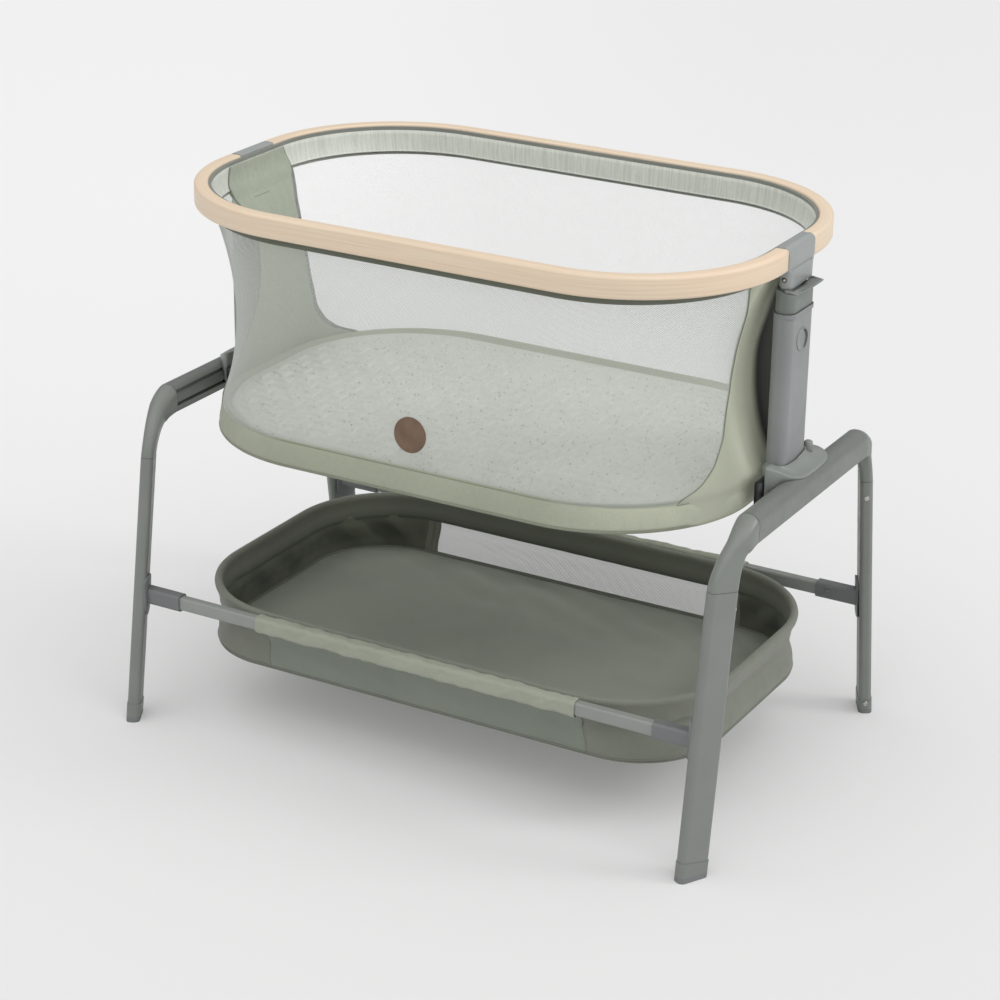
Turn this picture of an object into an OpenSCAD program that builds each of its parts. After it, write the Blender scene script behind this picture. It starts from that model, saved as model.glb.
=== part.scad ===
// Travel bassinet: an oval bowl with mesh sides hangs from a wooden rim between two
// telescoping posts, which slide across the top beams of a four-legged stand.
// +X runs along the bed, -Y is the open front, +Z is up.
// The origin lies on the floor below the middle of the bowl.

/* [Stand] */
// How much further out each leg frame stands than the post beside it
frame_offset = 25; // [22:0.5:30]
// Distance between front and back feet, centre to centre
foot_span = 590; // [560:1:620]
// Distance between front and back crossbars, centre to centre
bar_span = 534; // [526:1:544]
// Height of the crossbars' centre line
bar_height = 190; // [175:1:200]
// Height of the seam between leg tube and elbow
leg_seam_height = 394; // [370:1:400]
// Height of the top beam's centre line
beam_height = 463.5; // [460:0.5:474]
// Length of the straight top beam
beam_length = 356; // [340:1:358]
// Width of the top beam's section
beam_w = 33.5; // [31:0.5:36]
// Height of the top beam's section
beam_h = 40.5; // [39:0.5:43]
// Corner radius at the top of the beam's section
beam_r = 15; // [10:0.5:15]
// Corner radius at the bottom of the beam's section
beam_low_r = 5; // [3:0.5:8]
// How much further out the beams stand than the legs, on each side
beam_out = 5.5; // [2:0.5:8]
// Bend radius of the elbows at their centre line
elbow_bend = 55; // [44:1:55]
// Height of each slide groove in the beam's inner face
groove_h = 5.6; // [4.8:0.1:6.4]
// Depth of each slide groove
groove_d = 5.5; // [4.5:0.1:6]
// Distance between the two slide grooves, centre to centre
groove_pitch = 18.4; // [15:0.2:19]

/* [Legs] */
// Long side of the leg tube's section
leg_l = 44.5; // [40:0.5:48]
// Short side of the leg tube's section
leg_t = 18.5; // [16:0.5:22]
// Corner radius of the leg tube's section
leg_r = 7; // [4:0.5:8]
// Wall of the leg tube
leg_wall = 1.5; // [1:0.1:2.5]
// Angle by which the section's flat side turns from the frame's plane
leg_turn = 29; // [15:1:40]
// Height of the cap round the foot
foot_cap_h = 25; // [16:1:34]
// Height of the soft sole under the foot
sole_h = 8; // [4:0.5:10]
// How far the foot cap stands out of the leg's surface
foot_cap_wall = 1; // [0.6:0.1:2]

/* [Crossbars] */
// Width of the crossbar tube, front to back
bar_w = 15; // [12:0.5:18]
// Height of the crossbar tube
bar_h = 20; // [18:0.5:24]
// Corner radius of the crossbar tube
bar_r = 4; // [2:0.5:5]
// Wall of the crossbar tube
bar_wall = 1.5; // [1:0.1:2]
// Wall of the sockets that hold the crossbar ends
socket_wall = 2.4; // [2:0.1:4]
// Length of each socket
socket_length = 52; // [44:1:60]
// Height of the plate that wraps the leg behind each socket
socket_plate_h = 62; // [50:1:70]
// Width of the plate that wraps the leg
socket_plate_w = 32; // [26:1:36]
// Radius of the crossbar release button
bar_button_r = 4.5; // [3.5:0.1:5]
// Travel of the crossbar release button
bar_button_travel = 3; // [2:0.1:3]

/* [Carriages] */
// Length of the carriage along the beam, to the front of the post
carriage_front = 69; // [64:1:74]
// Length of the carriage along the beam, to the back of the post
carriage_back = 73; // [72:1:78]
// Thickness of the carriage skirt beside the beam
skirt_t = 11; // [9:0.5:13]
// Depth of the carriage skirt below the beam's top
skirt_drop = 35; // [28:1:38]
// Radius of the slide lock button
slide_button_r = 4; // [3:0.1:4.5]
// Travel of the slide lock button
slide_button_travel = 3; // [2:0.1:3]

/* [Posts] */
// How far each post's centre stands inside the rim's outer edge
post_inset = 8; // [6:0.5:10]
// Thickness of the lower post sleeve, along the bed
sleeve_t = 29; // [28:0.5:31]
// Width of the lower post sleeve, front to back
sleeve_w = 78; // [74:1:82]
// Corner radius of the lower post sleeve
sleeve_r = 12; // [8:0.5:13]
// Wall of the lower post sleeve
sleeve_wall = 3.5; // [3:0.1:4]
// Height of the sleeve's top edge above the floor
sleeve_top = 708; // [690:1:712]
// Wall of the upper tube
upper_wall = 2; // [1.5:0.1:2.2]
// Distance between two height settings
height_step = 28; // [24:1:30]
// Number of height settings
height_settings = 5; // [3:1:5]
// Radius of the round release button on the sleeve
post_button_r = 16; // [12:0.5:17]
// Travel of the round release button
post_button_travel = 2.4; // [1.5:0.1:2.4]
// Reach of the height lever beyond its pin
lever_reach = 21; // [16:1:24]
// Width of the height lever, front to back
lever_w = 62; // [54:1:64]
// Radius of the height lever's pin
lever_pin_r = 1.2; // [0.8:0.1:1.4]

/* [Bowl] */
// Overall length of the wooden rim
rim_length = 880; // [860:1:900]
// Overall width of the wooden rim
rim_width = 558.8; // [540:0.4:580]
// Corner radius of the rim, seen from above
rim_corner = 221; // [200:1:230]
// Height of the rim's top edge above the floor
rim_top = 799.5; // [798:0.5:806]
// Height of the wooden band
wood_h = 31; // [26:0.5:32]
// Thickness of the wooden band
wood_t = 20; // [16:0.5:20]
// Width of the metal bracket between the wooden bands
bracket_w = 82.4; // [76:0.2:90]
// Thickness of the core profile inside the wood
core_t = 4; // [3:0.5:6]
// How far the base stands in from the rim at each end
base_inset_end = 30; // [29:0.5:40]
// How far the base stands in from the rim at front and back
base_inset_side = 12.4; // [6:0.1:18]
// Height of the base's underside above the floor
base_bottom = 442; // [436:1:446]
// Height of the fabric band round the base
base_band_h = 37; // [34:1:42]
// How far the sides draw in between rim and base, at the ends
waist_end = 36; // [10:1:44]
// How far the sides draw in between rim and base, at front and back
waist_side = 4; // [0:1:16]
// Half width of an end panel at its narrowest
panel_half_w = 49; // [44:1:60]
// Thickness of the padded end panels
panel_t = 3; // [2:0.5:4]
// Thickness of the mesh sides
mesh_t = 1.5; // [1:0.5:2]
// Thickness of the mattress at its edge
mattress_t = 20; // [16:1:22]
// Rise of the mattress crown at its middle
mattress_crown = 5; // [2:0.5:8]

/* [Basket] */
// Gap between the basket's hem and the leg frame's centre, at each end
basket_gap_end = 46; // [42:0.5:60]
// Gap between the basket's hem and the crossbar's centre, front and back
basket_gap_side = 10.3; // [10.1:0.1:13]
// Corner radius of the basket, seen from above
basket_corner = 168; // [140:1:180]
// Height of the hem's centre above the floor
basket_rim_height = 195; // [186:1:204]
// Height of the basket's underside above the floor
basket_bottom = 104; // [90:1:120]
// Radius of the fabric hem
hem_r = 6; // [5:0.5:8]
// Radius of the wire hoop inside the hem
hoop_r = 3; // [2:0.5:4]
// Length of the fabric sleeves round the crossbars
bar_sleeve_length = 500; // [400:10:600]

/* [Hidden] */
clear = 0.35;
seat = 0.1;
button_clear = 0.4;
$fn = 48;
side_steps = 6;
corner_pts = 9;

post_span = rim_length - 2 * post_inset;
frame_span = post_span + 2 * frame_offset;
base_length = rim_length - 2 * base_inset_end;
base_width = rim_width - 2 * base_inset_side;
basket_length = frame_span - 2 * basket_gap_end;
basket_width = bar_span - 2 * basket_gap_side;
frame_x = frame_span / 2;
beam_x = frame_x + beam_out;
beam_top = beam_height + beam_h / 2;
beam_in = beam_x - beam_w / 2;
foot_y = foot_span / 2;
bar_y = bar_span / 2;
lean = atan((foot_y - bar_y) / bar_height);
leg_angle = 90 - leg_turn;
seam_along = leg_seam_height / cos(lean);
function leg_y(z) = foot_y - z * tan(lean);

post_x = post_span / 2;
bore_t = sleeve_t - 2 * sleeve_wall;
bore_w = sleeve_w - 2 * sleeve_wall;
bore_r = sleeve_r - sleeve_wall;
tube_t = bore_t - 2 * clear;
tube_w = bore_w - 2 * clear;
tube_r = bore_r - clear;
sleeve_bottom = beam_top + 1.2;
collar_top = beam_top + 18;
tube_bottom = sleeve_bottom + 17;
head_bottom = sleeve_top + 3.5;
head_top = head_bottom + 32;
travel_up = height_step * (height_settings - 1);
post_button_z = sleeve_top - 41;
channel_d = post_button_travel + 0.3;
lever_x = post_x + tube_t / 2 + 2.6;
lever_z = head_top - 11.5;

rim_bottom = rim_top - wood_h;
rim_a = rim_length / 2;
rim_b = rim_width / 2;
base_a = base_length / 2;
base_b = base_width / 2;
base_corner = rim_corner - 6;
wall_top_inset = wood_t + 1;
wall_top = rim_top - wood_h + 3;
wall_bottom = base_bottom + base_band_h + 0.3;
basket_a = basket_length / 2;
basket_b = basket_width / 2;

// Flat outline: rounded rectangle of full size w by d
module rounded(w, d, r) {
    square([w - 2 * r, d], center = true);
    square([w, d - 2 * r], center = true);
    for (sx = [-1, 1], sy = [-1, 1])
        translate([sx * (w / 2 - r), sy * (d / 2 - r)])
            circle(r);
}

// Points of a rounded rectangle, n per corner, counted from +X
function rounded_pts(w, d, r, n) = [
    for (c = [0:3], i = [0:n - 1])
        let (q = 90 * c + 90 * i / (n - 1),
            cx = (c == 0 || c == 3 ? 1 : -1) * (w / 2 - r),
            cy = (c < 2 ? 1 : -1) * (d / 2 - r))
        [cx + r * cos(q), cy + r * sin(q)]];

// The same with its own radius for the two lower corners
function section_pts(w, h, r, low_r, n) = [
    for (c = [0:3], i = [0:n - 1])
        let (q = 90 * c + 90 * i / (n - 1),
            k = c < 2 ? r : low_r,
            cx = (c == 0 || c == 3 ? 1 : -1) * (w / 2 - k),
            cy = (c < 2 ? 1 : -1) * (h / 2 - k))
        [cx + k * cos(q), cy + k * sin(q)]];

// Closed solid through a stack of point rings of equal count
module skin(rings) {
    m = len(rings[0]);
    k = len(rings);
    polyhedron(
        points = [for (ring = rings, p = ring) p],
        faces = concat(
            [[for (i = [0:m - 1]) i]],
            [for (j = [0:k - 2], i = [0:m - 1])
                let (a = j * m + i, b = j * m + (i + 1) % m)
                each [[a, b + m, b], [a, a + m, b + m]]],
            [[for (i = [m - 1:-1:0]) (k - 1) * m + i]]));
}

// Places the right front corner's piece at one of the four corners
module corner(sx, sy) {
    mirror([sx < 0 ? 1 : 0, 0, 0])
        mirror([0, sy > 0 ? 1 : 0, 0])
            children();
}

// Places the right end's piece at one of the two ends
module end(sx) {
    mirror([sx < 0 ? 1 : 0, 0, 0])
        children();
}

// Moves to the right front foot and tilts along the leg
module along_leg() {
    translate([frame_x, -foot_y, 0])
        rotate([-lean, 0, 0])
            children();
}

module leg_outline(grow) {
    rotate(leg_angle)
        rounded(leg_l + 2 * grow, leg_t + 2 * grow, leg_r + grow);
}

// Extruded aluminium beam with two slide grooves in its inner face
module beam() {
    translate([beam_x, 0, beam_height])
        rotate([90, 0, 0])
            linear_extrude(beam_length, center = true)
                difference() {
                    beam_outline(0);
                    beam_hollow(0);
                    for (s = [-1, 1])
                        translate([-beam_w / 2 - 1, groove_mid + s * groove_pitch / 2 - groove_h / 2])
                            square([groove_d + 1, groove_h]);
                }
}
groove_mid = 2;

// Beam section with a domed top and tighter lower corners
module beam_outline(grow) {
    w = beam_w / 2;
    h = beam_h / 2;
    translate([-w - grow, -h + beam_low_r])
        square([2 * w + 2 * grow, 2 * h - beam_low_r - beam_r]);
    translate([-w + beam_r, -h + beam_low_r])
        square([2 * w - 2 * beam_r, 2 * h - beam_low_r + grow]);
    translate([-w + beam_low_r, -h - grow])
        square([2 * w - 2 * beam_low_r, beam_h / 2]);
    for (s = [-1, 1]) {
        translate([s * (w - beam_r), h - beam_r])
            circle(beam_r + grow);
        translate([s * (w - beam_low_r), -h + beam_low_r])
            circle(beam_low_r + grow);
    }
}

// The beam's hollow, which also takes the elbow's spigot
module beam_hollow(gap) {
    hollow_w = beam_w - groove_d - 5.5;
    translate([(groove_d - 0.5) / 2, 0])
        rounded(hollow_w - 2 * gap, beam_h - 10 - 2 * gap, 4 - gap);
}

// Moulded elbow that turns the beam's section into the turned leg section:
// half way round it is slimmer in its plane and fuller across it
elbow_slim = 8.2;
elbow_fat = 1.7;
module elbow() {
    turn = 90 - lean;
    reach = elbow_bend * tan(turn / 2);
    meet = leg_y(beam_height);
    bend_y = meet - reach;
    bend_z = beam_height - elbow_bend;
    steps = 11;
    stations = concat(
        [[beam_length / 2, beam_height, 0]],
        [for (i = [0:steps])
            let (q = turn * i / steps)
            [bend_y + elbow_bend * sin(q), bend_z + elbow_bend * cos(q), q]],
        [[leg_y(leg_seam_height), leg_seam_height, turn]]);
    last = len(stations) - 1;
    rings = [for (k = [0:last])
        let (s = stations[k], u = s[2] / turn, f = u * u * (3 - 2 * u), mid = pow(4 * u * (1 - u), 1.4),
            w = beam_w + (leg_t - beam_w) * sqrt(f) + elbow_fat * mid,
            h = beam_h + (leg_l - beam_h) * f - elbow_slim * mid,
            r = min(beam_r + (leg_r - beam_r) * f + elbow_fat * mid, w / 2 - 0.2),
            low_r = beam_low_r + (leg_r - beam_low_r) * f,
            x = beam_x + (frame_x - beam_x) * f + elbow_fat * mid,
            a = leg_turn * pow(f, 0.8))
        [for (p = section_pts(w, h, r, low_r, 6))
            let (px = p[0] * cos(a) - p[1] * sin(a),
                pz = p[0] * sin(a) + p[1] * cos(a) - elbow_slim * 0.75 * mid)
            [x + px, -(s[0] + pz * sin(s[2])), s[1] + pz * cos(s[2])]]];
    difference() {
        union() {
            skin(rings);
            translate([beam_x, -beam_length / 2 - 3, beam_height])
                rotate([-90, 0, 0])
                    mirror([0, 1, 0])
                        linear_extrude(28)
                            beam_hollow(clear);
            along_leg()
                translate([0, 0, seam_along - 28])
                    linear_extrude(31)
                        leg_outline(-leg_wall - clear);
        }
        screw_hole(leg_seam_height - 25);
    }
}

// Leg tube with a flat section, cut level above its sole
module leg() {
    difference() {
        along_leg()
            translate([0, 0, -20])
                linear_extrude(seam_along + 20)
                    difference() {
                        leg_outline(0);
                        leg_outline(-leg_wall);
                    }
        below(sole_h + foot_floor);
        screw_hole(leg_seam_height - 25);
        screw_hole(foot_screw_z);
    }
}
foot_screw_z = foot_cap_h - 4;
foot_floor = 2;
screw_r = 2.2;

// Everything below height z
module below(z) {
    translate([0, 0, z - 100])
        cube([2000, 2000, 200], center = true);
}

// Cross hole through the leg's narrow inner edge
module screw_hole(z) {
    along_leg()
        translate([0, 0, z / cos(lean)])
            rotate(leg_angle)
                rotate([0, 90, 0])
                    cylinder(r = screw_r + 0.1, h = leg_l);
}

// Cap round the foot of the leg, with a plug that stands in the tube
module foot_cap() {
    along = foot_cap_h / cos(lean) + 20;
    difference() {
        along_leg()
            translate([0, 0, -20])
                linear_extrude(along)
                    leg_outline(foot_cap_wall);
        below(sole_h);
        difference() {
            along_leg()
                translate([0, 0, -20])
                    linear_extrude(along + 1)
                        difference() {
                            leg_outline(seat / 2);
                            leg_outline(-leg_wall - seat);
                        }
            below(sole_h + foot_floor);
        }
        screw_hole(foot_screw_z);
    }
}

module foot_sole() {
    intersection() {
        along_leg()
            translate([0, 0, -20])
                linear_extrude(60)
                    leg_outline(foot_cap_wall - 0.2);
        translate([-1000, -1000, 0])
            cube([2000, 2000, sole_h]);
    }
}

// Pan head screw in the leg's narrow inner edge
module leg_screw(z, out) {
    head_r = 4;
    head_h = 2;
    shank = 12;
    along_leg()
        translate([0, 0, z / cos(lean)])
            rotate(leg_angle)
                rotate([0, 90, 0])
                    difference() {
                        union() {
                            translate([0, 0, leg_l / 2 + out])
                                cylinder(r1 = head_r, r2 = head_r - 0.8, h = head_h);
                            translate([0, 0, leg_l / 2 - shank + out])
                                cylinder(r = screw_r, h = shank);
                        }
                        translate([0, 0, leg_l / 2 + out + head_h - 1.2])
                            for (a = [0, 90])
                                rotate(a)
                                    translate([-2.4, -0.5, 0])
                                        cube([4.8, 1, 4]);
                    }
}

// Socket for the crossbar's end, with a plate that wraps the leg
socket_w = bar_w + 2 * socket_wall;
socket_h = bar_h + 2 * socket_wall;
socket_in = frame_x - 24 - (socket_length - 2);
bar_button_x = socket_in + 19;
module socket() {
    difference() {
        union() {
            translate([socket_in, -bar_y, bar_height])
                rotate([90, 0, 90])
                    linear_extrude(frame_x - socket_in)
                        rounded(socket_w, socket_h, bar_r + socket_wall - 1);
            intersection() {
                along_leg()
                    linear_extrude(bar_height + socket_plate_h)
                        leg_outline(3.2);
                translate([frame_x - 40, -bar_y, bar_height])
                    rotate([90, 0, 90])
                        linear_extrude(36)
                            rounded(socket_plate_w, socket_plate_h, socket_plate_w / 2 - 1);
            }
        }
        along_leg()
            linear_extrude(seam_along)
                leg_outline(seat / 2);
        translate([frame_x - 4, -bar_y - 100, 0])
            cube([100, 200, 400]);
        translate([socket_in - 1, -bar_y, bar_height])
            rotate([90, 0, 90])
                linear_extrude(socket_length - 4)
                    rounded(bar_w + 2 * seat, bar_h + 2 * seat, bar_r + seat);
        translate([bar_button_x, -bar_y, bar_height])
            rotate([-90, 0, 0])
                cylinder(r = bar_button_r + button_clear, h = 40);
    }
}

// Crossbar tube with a button hole near each end
bar_end = socket_in + socket_length - 6;
module crossbar() {
    difference() {
        translate([-bar_end, -bar_y, bar_height])
            rotate([90, 0, 90])
                linear_extrude(2 * bar_end)
                    difference() {
                        rounded(bar_w, bar_h, bar_r);
                        rounded(bar_w - 2 * bar_wall, bar_h - 2 * bar_wall, bar_r - bar_wall);
                    }
        for (s = [-1, 1])
            translate([s * bar_button_x, -bar_y, bar_height])
                rotate([-90, 0, 0])
                    cylinder(r = bar_button_r + button_clear, h = 40);
    }
}

// Spring button that holds a crossbar in its socket, pressed towards the bar
module bar_button() {
    inner = bar_w / 2 - bar_wall - 0.35;
    outer = socket_w / 2 + 1.2;
    translate([bar_button_x, -bar_y, bar_height])
        rotate([-90, 0, 0]) {
            translate([0, 0, inner - 1.6])
                cylinder(r = bar_button_r + 1.6, h = 1.6);
            translate([0, 0, inner - 0.4])
                cylinder(r = bar_button_r, h = outer - inner - 0.2);
            translate([0, 0, outer - 0.7])
                cylinder(r1 = bar_button_r, r2 = bar_button_r - 0.7, h = 0.7);
        }
}

// Carriage casting: a saddle over the beam, a skirt beside it and the post's collar
slide_button_y = sleeve_w / 2 + 10;
slide_button_x = beam_in + 3;
module carriage() {
    saddle_out = beam_x + 9.5;
    saddle_in = beam_in - 0.4 - skirt_t;
    collar_wall = 4;
    saddle_len = carriage_front + carriage_back;
    mid_y = (carriage_back - carriage_front) / 2;
    difference() {
        union() {
            hull() {
                translate([saddle_in, 0, beam_top - 9])
                    linear_extrude(12)
                        saddle_plan(saddle_out - saddle_in);
                translate([post_x, 0, collar_top - 1.5])
                    linear_extrude(1.5)
                        rounded(sleeve_t + 2 * collar_wall - 2, sleeve_w + 2 * collar_wall,
                            sleeve_r + 3, $fn = 32);
                translate([slide_button_x, slide_button_y, beam_top - 9])
                    cylinder(r = slide_button_r + 5, h = 18, $fn = 32);
                translate([saddle_in + 2, -carriage_front + 4, beam_top - 9])
                    cylinder(r = 2, h = collar_top - beam_top + 8, $fn = 32);
            }
            translate([saddle_in, mid_y - saddle_len / 2 + 2, beam_top - skirt_drop])
                rotate([90, 0, 90])
                    linear_extrude(skirt_t)
                        translate([saddle_len / 2 - 2, (skirt_drop + 6) / 2])
                            rounded(saddle_len - 4, skirt_drop + 6, 5);
            translate([post_x, 0, beam_top - 9])
                linear_extrude(collar_top - beam_top + 9)
                    rounded(sleeve_t + 2 * collar_wall - 2, sleeve_w + 2 * collar_wall,
                        sleeve_r + 3);
        }
        translate([post_x, 0, sleeve_bottom])
            linear_extrude(60)
                rounded(sleeve_t + 2 * seat, sleeve_w + 2 * seat, sleeve_r + seat);
        translate([beam_x, 0, beam_height])
            rotate([90, 0, 0])
                linear_extrude(400, center = true)
                    beam_outline(clear);
        translate([slide_button_x, slide_button_y, beam_top - 5])
            cylinder(r = slide_button_r + button_clear, h = 60);
        for (s = [-1, 1])
            translate([saddle_in - 1, s * 22 + mid_y, beam_top - skirt_drop + 8])
                rotate([0, 90, 0])
                    cylinder(r = 3, h = 4);
        runners(seat);
    }
}

// Plan of the saddle, wide at the post and cut back over the beam's outer side
module saddle_plan(w) {
    hull() {
        translate([1.5, -carriage_front + 1.5])
            circle(1.5, $fn = 32);
        translate([w - 17, -carriage_front + 21])
            circle(17, $fn = 32);
        translate([w - 24, carriage_back - 24])
            circle(24, $fn = 32);
        translate([1.5, carriage_back - 6])
            circle(1.5, $fn = 32);
    }
}

// Two plastic runners that ride in the beam's grooves
module runners(grow = 0) {
    runner_h = groove_h - 2 * clear + 2 * grow;
    run = carriage_front + carriage_back - 20 + 2 * grow;
    for (s = [-1, 1])
        translate([beam_in - 0.4, (carriage_back - carriage_front) / 2 - run / 2,
            beam_height + groove_mid + s * groove_pitch / 2 - runner_h / 2])
            cube([groove_d, run, runner_h]);
}

// Lower post sleeve with a row of setting holes inside and the button's hole outside
module post_sleeve() {
    difference() {
        translate([post_x, 0, sleeve_bottom])
            linear_extrude(sleeve_top - sleeve_bottom)
                difference() {
                    rounded(sleeve_t, sleeve_w, sleeve_r);
                    rounded(bore_t, bore_w, bore_r);
                }
        translate([post_x, 0, post_button_z])
            rotate([0, 90, 0])
                cylinder(r = post_button_r + button_clear, h = 40);
        for (i = [0:height_settings - 1])
            translate([post_x, 0, sleeve_bottom + 52 + i * height_step])
                rotate([0, -90, 0])
                    cylinder(r = 4.5, h = 40);
    }
}

// Button behind the post that frees the carriage on its beam
module slide_button() {
    translate([slide_button_x, slide_button_y, beam_top + slide_button_travel + 1.2]) {
        cylinder(r = slide_button_r, h = 23);
        translate([0, 0, 23])
            cylinder(r1 = slide_button_r, r2 = slide_button_r - 0.8, h = 0.8);
    }
}

// Round button on the outside of the sleeve that frees the upper tube
module post_button() {
    translate([post_x + bore_t / 2 - 0.1, 0, post_button_z])
        rotate([0, 90, 0])
            difference() {
                union() {
                    cylinder(r = post_button_r, h = sleeve_wall + 0.4);
                    translate([0, 0, sleeve_wall + 0.4])
                        cylinder(r1 = post_button_r, r2 = post_button_r - 0.8, h = 0.6);
                }
                translate([0, 0, sleeve_wall + 40 - 0.2])
                    sphere(r = 40, $fn = 96);
            }
}

// Upper tube that slides in the sleeve, with the channel the button reaches into
module upper_tube() {
    difference() {
        translate([post_x, 0, tube_bottom])
            linear_extrude(head_top - 8 - tube_bottom)
                difference() {
                    rounded(tube_t, tube_w, tube_r);
                    difference() {
                        rounded(tube_t - 2 * upper_wall, tube_w - 2 * upper_wall,
                            tube_r - upper_wall);
                        translate([tube_t / 2 - channel_d - upper_wall, -channel_w / 2 - 1.5])
                            square([20, channel_w + 3]);
                    }
                    translate([tube_t / 2 - channel_d, -channel_w / 2])
                        square([20, channel_w]);
                }
    }
}
channel_w = 2 * post_button_r + 3;

// Casing on the upper tube, lower on its outer side, with a notch for the lever
head_t = sleeve_t - 0.5;
head_w = sleeve_w - 3;
head_x = post_x + 1;
barrel_r = 2.3;
barrel_w = 50;
module post_head() {
    difference() {
        translate([head_x, 0, head_bottom])
            linear_extrude(head_top - head_bottom)
                rounded(head_t, head_w, sleeve_r);
        translate([post_x, 0, head_bottom - 1])
            linear_extrude(60)
                rounded(tube_t + 2 * seat, tube_w + 2 * seat, tube_r + seat);
        translate([head_x - head_t / 2, -100, head_top])
            rotate([0, 14, 0])
                cube([80, 200, 40]);
        translate([post_x + tube_t / 2 + seat, -barrel_w / 2 - clear, lever_z - barrel_r - 0.4])
            cube([20, barrel_w + 2 * clear, 40]);
        translate([lever_x, 0, lever_z])
            rotate([90, 0, 0])
                cylinder(r = lever_pin_r + 0.05, h = 100, center = true);
    }
}

// Squeeze lever that frees the height lock: a barrel with a flared lip
module height_lever() {
    tip_x = lever_reach + 7;
    tip_z = 20.5;
    lip_t = 3;
    root_x = head_x + head_t / 2 + 1.4 - lever_x;
    difference() {
        union() {
            translate([lever_x, 0, lever_z])
                rotate([90, 0, 0])
                    cylinder(r = barrel_r, h = barrel_w, center = true);
            intersection() {
                translate([lever_x, 0, lever_z])
                    rotate([90, 0, 0])
                        linear_extrude(lever_w, center = true)
                            polygon([[-1.2, 1.8], [1.2, -1.8], [root_x + 2.6, -0.5],
                                [tip_x * 0.62, 9], [tip_x, tip_z - 1.6],
                                [tip_x + 0.3, tip_z - 0.3], [tip_x - 0.8, tip_z],
                                [tip_x * 0.55, 9 + lip_t], [root_x, lip_t + 1.6]]);
                translate([lever_x, 0, lever_z - 10])
                    linear_extrude(60)
                        lever_plan(root_x, tip_x + 1);
            }
        }
        translate([lever_x, 0, lever_z])
            rotate([90, 0, 0])
                cylinder(r = lever_pin_r + 0.1, h = 100, center = true);
    }
}

// Outline of the lever seen from above: barrel width, then wide, then a round tip
module lever_plan(root, tip) {
    nose_r = 16;
    translate([-5, -barrel_w / 2])
        square([root + 6, barrel_w]);
    translate([root, -lever_w / 2])
        square([tip - root - nose_r, lever_w]);
    intersection() {
        translate([root, -lever_w / 2])
            square([tip - root, lever_w]);
        for (s = [-1, 1])
            translate([tip - nose_r, s * (lever_w / 2 - nose_r)])
                circle(nose_r);
    }
    translate([tip - nose_r - 1, -lever_w / 2 + nose_r])
        square([nose_r + 1, lever_w - 2 * nose_r]);
}

module lever_pin() {
    translate([lever_x, 0, lever_z])
        rotate([90, 0, 0])
            cylinder(r = lever_pin_r, h = barrel_w + 8, center = true);
}

// Bracket at each end of the rim, with a tongue that stands in the upper tube
tongue_t = tube_t - 2 * upper_wall - channel_d - 1.2;
tongue_x = post_x - channel_d / 2;
tongue_w = 62;
block_t = 19;
block_w = 75;
block_x = rim_a - 6.5;
tongue_screw_z = head_top + 8;
module rim_bracket() {
    proud = 0.6;
    difference() {
        union() {
            translate([rim_a, 0, 0])
                rotate([90, 0, 0])
                    linear_extrude(bracket_w, center = true)
                        rim_section(wood_t, proud);
            translate([tongue_x, 0, head_bottom + 6])
                linear_extrude(rim_bottom - head_bottom)
                    rounded(tongue_t, tongue_w, 4);
            translate([block_x, 0, head_top + 1.5])
                linear_extrude(rim_bottom - head_top)
                    rounded(block_t, block_w, 9);
        }
        for (s = [-1, 1])
            translate([block_x, s * block_w / 2, tongue_screw_z])
                rotate([-s * 90, 0, 0])
                    cylinder(r = 2.1, h = 32, center = true);
    }
}

module bracket_screw(s) {
    translate([block_x, s * block_w / 2, tongue_screw_z])
        rotate([-s * 90, 0, 0]) {
            cylinder(r1 = 4.6, r2 = 3.8, h = 2.2);
            translate([0, 0, -14])
                cylinder(r = 2, h = 14.5);
        }
}

// Section of the rim seen along its path: x = 0 is its outer edge, y is height
module rim_section(t, grow) {
    round_out = 8;
    round_in = 3;
    low = rim_bottom - grow;
    high = rim_top + grow;
    translate([-t, low + round_in])
        square([t - round_out, high - low - 2 * round_in]);
    translate([-t + round_in, low])
        square([t - round_in - round_out, high - low]);
    translate([-round_out - 1, low + round_out - grow])
        square([round_out + 1 + grow, high - low - 2 * round_out + 2 * grow]);
    for (z = [low + round_in, high - round_in])
        translate([-t + round_in, z])
            circle(round_in);
    for (z = [low + round_out, high - round_out])
        translate([-round_out, z])
            intersection() {
                circle(round_out + grow);
                square([100, 100], center = true);
            }
}

// Sweeps a section round a rounded rectangle of half sizes a, b and corner r,
// over the front half from one end to the other, leaving a gap of half width cut
module half_ring(a, b, r, cut) {
    for (s = [-1, 1])
        mirror([s < 0 ? 1 : 0, 0, 0]) {
            translate([a - r, -(b - r), 0])
                rotate(-90)
                    rotate_extrude(angle = 90, $fn = 128)
                        translate([r, 0])
                            children();
            translate([a, -cut, 0])
                rotate([90, 0, 0])
                    linear_extrude(b - r - cut)
                        children();
            translate([a - r, -b, 0])
                rotate([90, 0, -90])
                    linear_extrude(a - r)
                        children();
        }
}

module rim_wood(front) {
    mirror([0, front ? 0 : 1, 0])
        half_ring(rim_a, rim_b, rim_corner, bracket_w / 2)
            rim_section(wood_t, 0);
}

// Flat ring between two rounded rectangles
module ring(a, b, r, wall, z0, z1) {
    translate([0, 0, z0])
        linear_extrude(z1 - z0)
            difference() {
                rounded(2 * a, 2 * b, r, $fn = 128);
                rounded(2 * (a - wall), 2 * (b - wall), r - wall, $fn = 128);
            }
}

// Core profile inside the wooden band
module rim_core() {
    ring(rim_a - wood_t, rim_b - wood_t, rim_corner - wood_t, core_t,
        rim_bottom + 3.5, rim_top - 3);
}

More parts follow.
